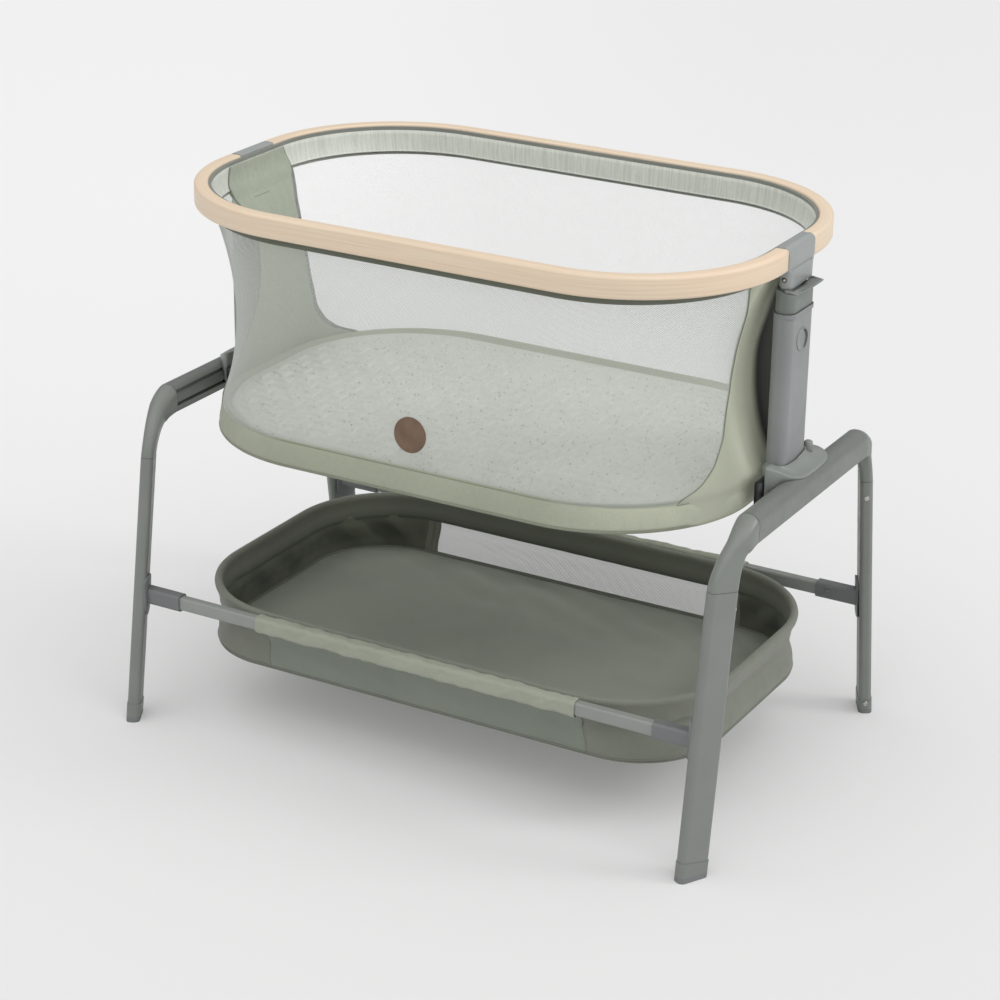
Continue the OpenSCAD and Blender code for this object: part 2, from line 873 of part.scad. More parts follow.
// Fabric band that lines the rim's inside and follows the side below it
lining_h = 9;
lining_t = 2;
lining_rows = [[rim_bottom - lining_h, 1], [wall_top, 1], [wall_top + 1, 0], [rim_top - 8, 0]];
module lining_solid(inset, past) {
    skin([for (k = [0:len(lining_rows) - 1])
        let (z = lining_rows[k][0], side = lining_rows[k][1] * (panel_t + clear) + inset,
            rim = wood_t + core_t + seat + inset,
            a = lining_rows[k][1] == 1 ? min(side_a(z) - side, rim_a - rim) : rim_a - rim,
            b = lining_rows[k][1] == 1 ? min(side_b(z) - side, rim_b - rim) : rim_b - rim,
            zz = k == 0 ? z - past : k == len(lining_rows) - 1 ? z + past : z)
        [for (p = rounded_pts(2 * a, 2 * b,
                lining_rows[k][1] == 1 ? side_r(z) - side : rim_corner - rim, corner_pts))
            [p[0], p[1], zz]]]);
}

module rim_lining() {
    difference() {
        lining_solid(0, 0);
        lining_solid(lining_t, 3);
    }
}

// Half length, half width and corner radius of the bowl's side at height z
function side_t(z) = (wall_top - z) / (wall_top - wall_bottom);
function side_waist(z) = 4 * side_t(z) * (1 - side_t(z));
function side_a(z) = (rim_a - wall_top_inset) * (1 - side_t(z)) + (base_a - 2) * side_t(z)
    - waist_end * side_waist(z);
function side_b(z) = (rim_b - wall_top_inset) * (1 - side_t(z)) + (base_b - 2) * side_t(z)
    - waist_side * side_waist(z);
function side_r(z) = (rim_corner - wall_top_inset) * (1 - side_t(z))
    + (base_corner - 2) * side_t(z) - 0.3 * waist_end * side_waist(z);

// Solid inside the bowl's side surface, moved in by inset
module side_solid(inset, past) {
    rings = [for (k = [-1:side_steps + 1])
        let (z = wall_bottom + (wall_top - wall_bottom) * max(0, min(1, k / side_steps)),
            zz = k < 0 ? z - past : k > side_steps ? z + past : z)
        [for (p = rounded_pts(2 * (side_a(z) - inset), 2 * (side_b(z) - inset),
                side_r(z) - inset, corner_pts))
            [p[0], p[1], zz]]];
    skin(past > 0 ? rings : [for (k = [1:side_steps + 1]) rings[k]]);
}

module side_wall(wall) {
    difference() {
        side_solid(0, 0);
        side_solid(wall, 5);
    }
}

// Half width of an end panel at height z: flares to the rim and to the base
panel_rows = [[0, 133], [0.04, 101], [0.11, 64], [0.21, 38], [0.4, 16], [0.55, 5],
    [0.68, 0], [0.79, 3], [0.9, 18], [1, 34]];
function panel_w(z) = panel_half_w
    + lookup((z - wall_bottom) / (wall_top - wall_bottom), panel_rows);

// Prism along X that holds the end panels, grown by a gap
module panel_prism(grow) {
    steps = 14;
    low = wall_bottom - 3;
    high = wall_top + 3;
    zs = [for (i = [0:steps]) low + (high - low) * i / steps];
    rotate([90, 0, 90])
        linear_extrude(2 * rim_a, center = true)
            polygon(concat(
                [for (z = zs) [panel_w(z) + grow, z]],
                [for (i = [steps:-1:0]) [-panel_w(zs[i]) - grow, zs[i]]]));
}

module end_panel() {
    intersection() {
        side_wall(panel_t);
        panel_prism(0);
        translate([0, -rim_a, 0])
            cube([rim_a, 2 * rim_a, 1000]);
    }
}

module mesh_side() {
    difference() {
        side_wall(mesh_t);
        panel_prism(seat);
        translate([-rim_a, 0, 0])
            cube([2 * rim_a, rim_a, 1000]);
    }
}

// Fabric tray under the bowl: a band round the base and its underside
module base_cover() {
    band_t = 3;
    r = base_corner;
    difference() {
        hull() {
            translate([0, 0, base_bottom])
                linear_extrude(1)
                    rounded(base_length - 10, base_width - 10, r - 5, $fn = 64);
            translate([0, 0, base_bottom + 8])
                linear_extrude(base_band_h - 8)
                    rounded(base_length, base_width, r, $fn = 64);
        }
        translate([0, 0, base_bottom + band_t])
            linear_extrude(100)
                rounded(base_length - 16, base_width - 16, r - 8, $fn = 64);
        translate([0, 0, base_bottom + 14])
            linear_extrude(100)
                rounded(base_length - 2 * band_t, base_width - 2 * band_t, r - band_t, $fn = 64);
    }
}

// Hoop of tube that spreads the base
frame_tube_r = 5.5;
base_frame_z = base_bottom + 3 + frame_tube_r + seat;
base_frame_in = 8 + frame_tube_r + seat;
module base_frame() {
    a = base_a - base_frame_in;
    b = base_b - base_frame_in;
    for (m = [0, 1])
        mirror([0, m, 0])
            half_ring(a, b, base_corner - base_frame_in, 0)
                translate([0, base_frame_z])
                    circle(frame_tube_r, $fn = 24);
}

// Stiff board that carries the mattress
board_t = 5;
module base_board() {
    inset = base_frame_in + frame_tube_r + 0.5;
    translate([0, 0, base_bottom + 3 + seat])
        linear_extrude(board_t)
            difference() {
                rounded(base_length - 2 * inset, base_width - 2 * inset,
                    base_corner - inset, $fn = 64);
                for (x = [-1, 0, 1], y = [-1, 1])
                    translate([x * base_length / 4, y * base_width / 5])
                        circle(12);
            }
}

// Mattress with a crowned top and drawn-in edge
module mattress() {
    bottom = base_frame_z + frame_tube_r + 0.5;
    a = base_a - 6;
    b = base_b - 6;
    r = base_corner - 8;
    edge = mattress_t;
    profile = [[0, 3], [0.25, 0.8], [0.5, 0], [0.8, 1], [1, 4]];
    crown = [[0.25, 14], [0.55, 44], [0.82, 96], [0.96, 160]];
    skin(concat(
        [for (p = profile)
            [for (q = rounded_pts(2 * (a - p[1]), 2 * (b - p[1]), r - p[1], 8))
                [q[0], q[1], bottom + edge * p[0]]]],
        [for (p = crown)
            [for (q = rounded_pts(2 * (a - p[1]), 2 * (b - p[1]), max(r - p[1], 30), 8))
                [q[0], q[1], bottom + edge + mattress_crown * p[0]]]]));
}

// Half sizes of the basket wall at height z, drawn in below the hem
shell_top = basket_rim_height - hem_r - 0.3;
function shell_t(z) = (shell_top - z) / (shell_top - basket_bottom);
shell_rows = [[0, 0, 0, 0], [0.14, 4, 2, 5], [0.3, 7, 5, 12], [0.55, 2, 9, 22],
    [0.78, 0, 11, 31], [0.93, 1, 13, 37], [1, 5, 18, 43]];
module shell_solid(inset, lift) {
    skin([for (k = [len(shell_rows) - 1:-1:0])
        let (row = shell_rows[k],
            z = shell_top - (shell_top - basket_bottom) * row[0],
            zz = k == 0 ? z + lift : max(z, basket_bottom + lift * 0.45))
        [for (p = rounded_pts(2 * (basket_a - hem_r - row[1] - inset),
                2 * (basket_b - hem_r - row[2] - inset),
                basket_corner - hem_r - row[3] - inset, 8))
            [p[0], p[1], zz]]]);
}

module basket_shell() {
    difference() {
        shell_solid(0, 0);
        shell_solid(2.5, 6);
    }
}

// Fabric hem folded over the wire hoop, open along its underside
module basket_hem() {
    a = basket_a - hem_r;
    b = basket_b - hem_r;
    r = basket_corner - hem_r;
    for (m = [0, 1])
        mirror([0, m, 0])
            half_ring(a, b, r, 0)
                translate([0, basket_rim_height])
                    difference() {
                        circle(hem_r, $fn = 24);
                        circle(hoop_r + seat, $fn = 24);
                        translate([-1.5, -hem_r - 1])
                            square([3, hem_r + 1]);
                    }
}

module basket_hoop() {
    for (m = [0, 1])
        mirror([0, m, 0])
            half_ring(basket_a - hem_r, basket_b - hem_r, basket_corner - hem_r, 0)
                translate([0, basket_rim_height])
                    circle(hoop_r, $fn = 24);
}

// Fabric sleeve round a crossbar
module bar_sleeve() {
    gap = seat;
    wall = 2.2;
    translate([-bar_sleeve_length / 2, -bar_y, bar_height])
        rotate([90, 0, 90])
            linear_extrude(bar_sleeve_length)
                difference() {
                    rounded(bar_w + 2 * gap + 2 * wall, bar_h + 2 * gap + 2 * wall,
                        bar_r + gap + wall);
                    rounded(bar_w + 2 * gap, bar_h + 2 * gap, bar_r + gap);
                }
}

// Hoop, floor board and crossbar sleeves of the basket
module basket_trim() {
    basket_hoop();
    translate([0, 0, basket_bottom + 3])
        linear_extrude(3)
            rounded(basket_length - 62, basket_width - 94, basket_corner - 34, $fn = 64);
    bar_sleeve();
    mirror([0, 1, 0])
        bar_sleeve();
}

frame_grey = [0.55, 0.57, 0.56];
post_grey = [0.58, 0.60, 0.60];
dark_grey = [0.2, 0.2, 0.2];
wood_tan = [0.86, 0.77, 0.65];
sage = [0.63, 0.65, 0.58];
basket_green = [0.47, 0.49, 0.44];
mesh_pale = [0.88, 0.9, 0.87];
quilt_pale = [0.78, 0.8, 0.76];
steel = [0.8, 0.8, 0.8];

color(frame_grey) end(1) beam();  // beam_right
color(frame_grey) end(-1) beam();  // beam_left
for (c = [["front_right", 1, -1], ["back_right", 1, 1], ["front_left", -1, -1], ["back_left", -1, 1]]) {
    color(frame_grey) corner(c[1], c[2]) elbow();
    color(frame_grey) corner(c[1], c[2]) leg();
    color(frame_grey) corner(c[1], c[2]) foot_cap();
    color(dark_grey) corner(c[1], c[2]) foot_sole();  // foot_soles
    color(steel) corner(c[1], c[2]) {  // leg_screws
            leg_screw(leg_seam_height - 25, 0);
            leg_screw(foot_screw_z, foot_cap_wall);
        }
    color(frame_grey) corner(c[1], c[2]) socket();
    color(dark_grey) corner(c[1], c[2]) bar_button();
}
color(frame_grey) crossbar();  // crossbar_front
color(frame_grey) mirror([0, 1, 0]) crossbar();  // crossbar_back
for (e = [["right", 1], ["left", -1]]) {
    color(post_grey) end(e[1]) carriage();
    color(dark_grey) end(e[1]) runners();  // carriage_runners
    color(post_grey) end(e[1]) post_sleeve();
    color(post_grey) end(e[1]) slide_button();
    color(post_grey) end(e[1]) post_button();
    color(post_grey) end(e[1]) upper_tube();
    color(post_grey) end(e[1]) post_head();
    color(post_grey) end(e[1]) height_lever();
    color(steel) end(e[1]) lever_pin();  // lever_pins
    color(post_grey) end(e[1]) rim_bracket();
    color(steel) end(e[1]) {  // bracket_screws
            bracket_screw(1);
            bracket_screw(-1);
        }
    color(sage) end(e[1]) end_panel();
}
color(wood_tan) rim_wood(true);  // rim_wood_front
color(wood_tan) rim_wood(false);  // rim_wood_back
color(post_grey) rim_core();
color(sage) rim_lining();
color(mesh_pale) mesh_side();  // mesh_side_front
color(mesh_pale) mirror([0, 1, 0]) mesh_side();  // mesh_side_back
color(sage) base_cover();
color(steel) base_frame();
color(dark_grey) base_board();
color(quilt_pale) mattress();
color(basket_green) basket_shell();
color(basket_green) basket_hem();
color(basket_green) basket_trim();
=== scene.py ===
"""Looks of the travel bassinet: an oval mesh bowl under a wooden rim, on a grey stand.

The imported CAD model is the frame. Rigid nodes whose shape is right keep it and get a
finish here. Cloth, mesh, quilting, wood and the moulded shapes are surfaces worked out
with numpy. Lengths in the classes are millimetres in the CAD frame; meshes are metres.
"""

from __future__ import annotations

import logging
import math
from collections.abc import Sequence
from dataclasses import dataclass, field
from enum import Enum

import bpy
import numpy as np
from mathutils import Matrix


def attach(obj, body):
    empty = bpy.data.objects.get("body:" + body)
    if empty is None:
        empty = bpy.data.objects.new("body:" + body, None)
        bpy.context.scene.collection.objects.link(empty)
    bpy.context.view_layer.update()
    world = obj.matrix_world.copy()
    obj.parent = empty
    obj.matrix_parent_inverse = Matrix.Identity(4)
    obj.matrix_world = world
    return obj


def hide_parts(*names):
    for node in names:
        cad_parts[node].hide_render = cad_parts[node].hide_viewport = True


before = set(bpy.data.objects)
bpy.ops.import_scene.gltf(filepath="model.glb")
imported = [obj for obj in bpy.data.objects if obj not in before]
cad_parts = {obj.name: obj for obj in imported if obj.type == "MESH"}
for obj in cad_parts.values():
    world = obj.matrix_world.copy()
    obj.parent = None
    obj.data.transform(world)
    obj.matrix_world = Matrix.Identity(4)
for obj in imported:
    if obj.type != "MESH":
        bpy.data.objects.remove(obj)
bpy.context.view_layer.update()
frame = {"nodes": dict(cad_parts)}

LOG = logging.getLogger("bassinet")
MM = 0.001
WELD_GAP = 0.00002
FLAT_ANGLE = math.radians(1.0)
SHARP_ANGLE = math.radians(32)
FULL_TURN = 2 * math.pi
SIDES = (("right", 1), ("left", -1))
FACES = (("front", -1), ("back", 1))
CORNERS = (("front_right", 1, -1), ("back_right", 1, 1), ("front_left", -1, -1), ("back_left", -1, 1))
Array = np.ndarray
Sheet = tuple[bpy.types.Object, Array]


# Plane curves and surfaces
def quarter_length(a: Array, b: Array, r: Array) -> Array:
    """Length of one quarter of a rounded rectangle with half sizes a, b and corner r."""
    return (b - r) + r * math.pi / 2 + (a - r)


def plan_point(a: Array, b: Array, r: Array, s: Array) -> tuple[Array, Array, Array, Array]:
    """Points on a rounded rectangle, by arc length.

    The side, the corner arc and the other side follow one another in each quarter, and
    the odd quarters run backwards, so one formula serves all four.

    Args:
        a: Half size along X.
        b: Half size along Y.
        r: Corner radius.
        s: Arc length from (a, 0), counted towards +Y.

    Returns:
        x, y and the outward normal's x, y.
    """
    quarter = quarter_length(a, b, r)
    turn = np.floor(s / quarter)
    v = s - turn * quarter
    v = np.where(np.mod(turn, 2) == 1, quarter - v, v)
    angle = np.clip((v - (b - r)) / r, 0, math.pi / 2)
    x = a - r + r * np.cos(angle) - np.clip(v - (b - r) - r * math.pi / 2, 0, None)
    y = np.minimum(v, b - r) + r * np.sin(angle)
    k = np.mod(turn, 4)
    sx = np.where((k == 1) | (k == 2), -1.0, 1.0)
    sy = np.where(k >= 2, -1.0, 1.0)
    return sx * x, sy * y, sx * np.cos(angle), sy * np.sin(angle)


def section(w: float, h: float, radii: tuple[float, float, float, float], n: int) -> Array:
    """Rounded rectangle section, centred, as a ring of points.

    Args:
        w: Width along the first axis.
        h: Height along the second axis.
        radii: Corner radii from the first quadrant on, counter-clockwise.
        n: Points on each corner.

    Returns:
        Points of shape (4 n, 2), counter-clockwise.
    """
    q = np.linspace(0, math.pi / 2, n)
    rings = []
    for k, (r, cx, cy) in enumerate(zip(radii, (1, -1, -1, 1), (1, 1, -1, -1))):
        a = q + k * math.pi / 2
        centre = (cx * (w / 2 - r), cy * (h / 2 - r))
        rings.append(np.stack([centre[0] + r * np.cos(a), centre[1] + r * np.sin(a)], -1))
    return np.concatenate(rings)


def smooth(x: Array) -> Array:
    """The step 3x^2 - 2x^3 of x held between 0 and 1."""
    x = np.clip(x, 0, 1)
    return x * x * (3 - 2 * x)


def grid(*parts: Array | float) -> Array:
    """Stacks coordinates whose shapes fit one another into one array of points."""
    return np.stack(np.broadcast_arrays(*parts), -1)


def columns(rows: Sequence[Sequence[float]]) -> Array:
    """The columns of a table, each of shape (1, number of rows)."""
    return np.array(rows, float).T[:, None]


def places(count: int, full: float = 4.0) -> Array:
    """Even places round a closed line, from 0 up to its full measure, of shape (count, 1)."""
    return np.linspace(0, full, count + 1)[:-1, None]


def closed_uv(count: int, quarter: float, across: Array) -> Array:
    """UV map in metres of a closed band: the way round four quarters and the way across."""
    return grid(np.linspace(0, 4, count + 1)[:, None] * quarter, across) * MM


def distances(points: Array) -> Array:
    """Distance of each point of a line from the first one, measured along the line."""
    return np.concatenate([[0], np.cumsum(np.linalg.norm(np.diff(points, axis=0), axis=1))])


def even_ring(ring: Array, count: int) -> Array:
    """Points at even distances round a closed line in the plane.

    Args:
        ring: Array of shape (N, 2 or more); the columns after x and y go along with them.
        count: Number of points.

    Returns:
        Array of shape (count, columns).
    """
    closed = np.vstack([ring, ring[:1]])
    reach = distances(closed[:, :2])
    place = places(count, reach[-1])[:, 0]
    return np.stack([np.interp(place, reach, column) for column in closed.T], -1)


def eased(t: Array, at: Sequence[float], values: Sequence[float], span: tuple[float, float],
          count: int, window: int) -> Array:
    """A table's value at t, with the table's corners rounded by a Hann window.

    Args:
        t: Where the value is wanted.
        at: The table's places.
        values: Its values.
        span: First and last place of the fine grid on which it is rounded.
        count: Points of that grid.
        window: Width of the window in its points, an odd number.

    Returns:
        Array of the shape of t.
    """
    fine = np.linspace(*span, count)
    kernel = np.hanning(window)
    padded = np.pad(np.interp(fine, at, values), window // 2, mode="reflect", reflect_type="odd")
    return np.interp(t, fine, np.convolve(padded, kernel / kernel.sum(), mode="valid"))


def plan_grid(a: float, b: float, r: float, nu: int, nv: int) -> tuple[Array, Array, Array]:
    """Square grid laid over a rounded rectangle, so that what is drawn on it keeps its size.

    Args:
        a: Half size along X.
        b: Half size along Y.
        r: Corner radius.
        nu: Points along X.
        nv: Points along Y.

    Returns:
        x, y and the distance from the rectangle's edge, each of shape (nu, nv).
    """
    x = np.linspace(-a, a, nu)[:, None] + np.zeros((1, nv))
    dx = np.abs(x) - (a - r)
    y = np.linspace(-1, 1, nv)[None, :] * (b - r + np.sqrt(np.clip(r * r - np.maximum(dx, 0) ** 2, 0, None)))
    dy = np.abs(y) - (b - r)
    d = r - np.hypot(np.maximum(dx, 0), np.maximum(dy, 0)) - np.minimum(np.maximum(dx, dy), 0)
    return x, y, np.clip(d, 0, None)


def placed(name: str, data: bpy.types.ID) -> bpy.types.Object:
    """A new object with that data, in the scene, at the origin.

    Args:
        name: Its name.
        data: Its mesh, camera or light.

    Returns:
        The object.
    """
    made = bpy.data.objects.new(name, data)
    bpy.context.scene.collection.objects.link(made)
    return made


def standing(right: Array, up: Array, back: Array, place: Sequence[float]) -> Matrix:
    """Matrix of an object at that place whose own axes point right, up and back.

    Args:
        right: Direction of its own X axis.
        up: Direction of its own Y axis.
        back: Direction of its own Z axis.
        place: Its place in metres.

    Returns:
        The matrix.
    """
    turned = np.eye(4)
    turned[:3, :3] = np.stack([right, up, back], 1)
    turned[:3, 3] = place
    return Matrix(turned.tolist())


def ripple(u: Array, v: Array, seed: int, scale: float, waves: int = 9, stretch: float = 1.0) -> Array:
    """Smooth random field, the mean of some plane waves with seeded directions.

    Args:
        u: First coordinate.
        v: Second coordinate.
        seed: Seed of the directions and phases.
        scale: Mean wavelength, in the coordinates' unit.
        waves: Number of waves.
        stretch: How many times longer the waves are along u.

    Returns:
        Field of about -1 to 1.
    """
    rng = np.random.default_rng(seed)
    total = np.zeros(np.broadcast(u, v).shape)
    for _ in range(waves):
        angle = rng.uniform(0, FULL_TURN)
        k = FULL_TURN / (scale * rng.uniform(0.6, 1.6))
        total = total + np.sin(k * (np.cos(angle) * u / stretch + np.sin(angle) * v)
                               + rng.uniform(0, FULL_TURN))
    return total / math.sqrt(waves)


def lattice(name: str, points: Array, *, wrap_u: bool = False, wrap_v: bool = False,
            caps: bool = False, uv: Array | None = None, flip: bool = False,
            seam_and_shade: Array | None = None) -> bpy.types.Object:
    """Makes a mesh from a grid of points.

    Args:
        name: Name of the piece.
        points: Array of shape (U, V, 3) in millimetres.
        wrap_u: Joins the last row to the first.
        wrap_v: Joins the last column to the first.
        caps: Closes both ends along v of a grid that is wrapped along u.
        uv: Array of shape (U + wrap_u, V + wrap_v, 2) in metres.
        flip: Turns the faces over.
        seam_and_shade: Array of shape (U, V), from 0 to 1, of how far the finish's dark tone shows.

    Returns:
        The object, at the origin.
    """
    nu, nv = points.shape[:2]
    i, j = np.meshgrid(np.arange(nu - 1 + wrap_u), np.arange(nv - 1 + wrap_v), indexing="ij")
    i, j = i.ravel(), j.ravel()
    i1, j1 = i + 1, j + 1
    quad = np.stack([i * nv + j, (i1 % nu) * nv + j, (i1 % nu) * nv + j1 % nv, i * nv + j1 % nv], -1)
    if flip:
        quad = quad[:, ::-1]
    faces = quad.tolist()
    if caps:
        ring = np.arange(nu) * nv
        ends = (ring[::-1], ring + nv - 1)
        faces += [(e[::-1] if flip else e).tolist() for e in ends]
    mesh = bpy.data.meshes.new(name)
    mesh.from_pydata((points.reshape(-1, 3) * MM).tolist(), [], faces)
    if uv is not None:
        corner = np.stack([np.stack([i, j], -1), np.stack([i1, j], -1),
                           np.stack([i1, j1], -1), np.stack([i, j1], -1)], 1)
        if flip:
            corner = corner[:, ::-1]
        values = uv[corner[..., 0], corner[..., 1]].reshape(-1, 2)
        flat = np.zeros((len(mesh.loops), 2))
        flat[:len(values)] = values
        mesh.uv_layers.new(name="UVMap").data.foreach_set("uv", flat.ravel())
    if seam_and_shade is not None:
        values = np.broadcast_to(seam_and_shade, (nu, nv)).astype(np.float32).ravel()
        mesh.attributes.new("seam_and_shade", "FLOAT", "POINT").data.foreach_set("value", values)
    mesh.shade_smooth()
    mesh.validate()
    return placed(name, mesh)


def pipe(name: str, path: Array, radius: float, closed: bool = False, sides: int = 8,
         up: tuple[float, float, float] = (0, 0, 1)) -> bpy.types.Object:
    """A round tube along a path, with flat ends if it is open.

    Each ring stands across the path's direction, measured from neighbouring points.

    Args:
        name: Name of the piece.
        path: Points of shape (N, 3) in millimetres.
        radius: The tube's radius in millimetres.
        closed: Whether the path ends where it starts.
        sides: Points round the tube.
        up: A direction that the path never runs along.

    Returns:
        The object, at the origin.
    """
    if closed:
        tangent = np.roll(path, -1, 0) - np.roll(path, 1, 0)
    else:
        tangent = np.gradient(path, axis=0)
    tangent /= np.linalg.norm(tangent, axis=1, keepdims=True)
    side = np.cross(tangent, np.array(up, float))
    side /= np.linalg.norm(side, axis=1, keepdims=True)
    over = np.cross(side, tangent)
    q = np.linspace(0, FULL_TURN, sides, endpoint=False)[:, None, None]
    points = path + radius * (np.cos(q) * side + np.sin(q) * over)
    return lattice(name, points, wrap_u=True, wrap_v=closed, caps=not closed, flip=True)


def join(name: str, pieces: list[bpy.types.Object]) -> bpy.types.Object:
    """Joins pieces into one object of that name, and keeps their materials.

    Args:
        name: Its name.
        pieces: The first one takes in the others.

    Returns:
        The joined piece.
    """
    with bpy.context.temp_override(active_object=pieces[0], object=pieces[0],
                                   selected_editable_objects=pieces, selected_objects=pieces):
        bpy.ops.object.join()
    pieces[0].name = name
    pieces[0].data.name = name
    return pieces[0]


def modifier(piece: bpy.types.Object, kind: str, **settings: float | int | bool | str) -> None:
    """Adds a modifier of that type with those settings.

    Args:
        piece: The piece.
        kind: The modifier's type.
        settings: Its properties.
    """
    made = piece.modifiers.new(kind.title(), kind)
    for key, value in settings.items():
        setattr(made, key, value)


def thicken(piece: bpy.types.Object, thickness: float, offset: float = -1.0) -> None:
    """Gives a sheet its thickness in millimetres, inwards for an offset of -1."""
    modifier(piece, "SOLIDIFY", thickness=thickness * MM, offset=offset, use_rim=True)


def softened(node: str, width: float) -> bpy.types.Object:
    """Copy of a CAD node with merged points and small rounds on its sharp edges.

    Args:
        node: The CAD node, which the copy replaces.
        width: Width of the rounds in millimetres.

    Returns:
        The copy, at the origin.
    """
    name = node + "_dressed"
    mesh = frame["nodes"][node].data.copy()
    mesh.name = name
    mesh.materials.clear()
    if "custom_normal" in mesh.attributes:
        mesh.attributes.remove(mesh.attributes["custom_normal"])
    piece = placed(name, mesh)
    modifier(piece, "WELD", merge_threshold=WELD_GAP)
    modifier(piece, "DECIMATE", decimate_type="DISSOLVE", angle_limit=FLAT_ANGLE)
    modifier(piece, "BEVEL", width=width * MM, segments=2, limit_method="ANGLE",
             angle_limit=SHARP_ANGLE, harden_normals=True, use_clamp_overlap=True)
    mesh.shade_smooth()
    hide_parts(node)
    return piece


# Shader node groups and finishes
class Tree:
    """A node tree that is being built, with short calls for its nodes and links."""

    def __init__(self, tree: bpy.types.NodeTree) -> None:
        """Starts on an empty tree.

        Args:
            tree: The tree that is emptied and built.
        """
        self.tree = tree
        self.source: bpy.types.Node | None = None
        self.sink: bpy.types.Node | None = None
        tree.nodes.clear()

    def feed(self, node: bpy.types.Node, inputs: dict[str | int, object]) -> None:
        """Gives a node its values, or links output sockets to it, by socket name or number.

        Args:
            node: The node.
            inputs: Values or output sockets.
        """
        for key, value in inputs.items():
            if isinstance(value, bpy.types.NodeSocket):
                self.tree.links.new(value, node.inputs[key])
            else:
                node.inputs[key].default_value = value

    def node(self, kind: str, inputs: dict | None = None, **props: object) -> bpy.types.Node:
        """Adds a node.

        Args:
            kind: Node type, without the ShaderNode prefix.
            inputs: Values or output sockets, by socket name or number.
            props: The node's own properties.

        Returns:
            The node.
        """
        made = self.tree.nodes.new(kind if kind.startswith("Node") else "ShaderNode" + kind)
        for key, value in props.items():
            setattr(made, key, value)
        self.feed(made, inputs or {})
        return made

    def math(self, operation: str, a: object, b: object = 0.0) -> bpy.types.NodeSocket:
        """Output of a Math node on two values or sockets."""
        return self.node("Math", {0: a, 1: b}, operation=operation).outputs[0]

    def noise(self, vector: object, scale: float, detail: float = 2.0,
              rough: float = 0.5) -> bpy.types.NodeSocket:
        """Factor output of a Noise Texture."""
        return self.node("TexNoise", {"Vector": vector, "Scale": scale, "Detail": detail,
                                      "Roughness": rough}).outputs["Fac"]

    def drawn(self, vector: object, along: float, across: float, detail: float = 2.0,
              rough: float = 0.5) -> bpy.types.NodeSocket:
        """Noise with one scale along the first coordinate and another along the second."""
        scaled = self.node("Mapping", {"Vector": vector, "Scale": (along, across, 1)})
        return self.noise(scaled.outputs[0], 1.0, detail, rough)

    def span(self, value: object, low: float, high: float, to_low: float = 0.0,
             to_high: float = 1.0) -> bpy.types.NodeSocket:
        """Output of a Map Range node, smooth between its ends.

        Args:
            value: What is mapped.
            low: Start of the change.
            high: Its end.
            to_low: Result at the start.
            to_high: Result at the end.

        Returns:
            The result's output.
        """
        made = self.node("MapRange", {"Value": value, "From Min": low, "From Max": high,
                                      "To Min": to_low, "To Max": to_high},
                         interpolation_type="SMOOTHSTEP")
        return made.outputs["Result"]

    def mix(self, factor: object, a: object, b: object) -> bpy.types.NodeSocket:
        """Colour output of a Mix node, whose colours are its inputs 6 and 7 and its output 2."""
        return self.node("Mix", {0: factor, 6: a, 7: b}, data_type="RGBA").outputs[2]


def new_group(name: str, inputs: dict[str, tuple[str, object]], outputs: dict[str, str]) -> Tree:
    """Starts a shader node group with named sockets.

    Args:
        name: Name of the group.
        inputs: Socket kind and default value, by name.
        outputs: Socket kind, by name.

    Returns:
        The tree, with its input node at tree.source and its output node at tree.sink.
    """
    group = bpy.data.node_groups.new(name, "ShaderNodeTree")
    for label, (kind, default) in inputs.items():
        made = group.interface.new_socket(label, in_out="INPUT", socket_type="NodeSocket" + kind)
        if default is not None:
            made.default_value = default
    for label, kind in outputs.items():
        group.interface.new_socket(label, in_out="OUTPUT", socket_type="NodeSocket" + kind)
    tree = Tree(group)
    tree.source = tree.node("NodeGroupInput")
    tree.sink = tree.node("NodeGroupOutput")
    return tree


def rgb(r: float, g: float, b: float) -> tuple[float, float, float, float]:
    """Linear colour of an sRGB colour that is given from 0 to 255."""
    c = np.array([r, g, b]) / 255
    return (*np.where(c <= 0.04045, c / 12.92, ((c + 0.055) / 1.055) ** 2.4).tolist(), 1.0)


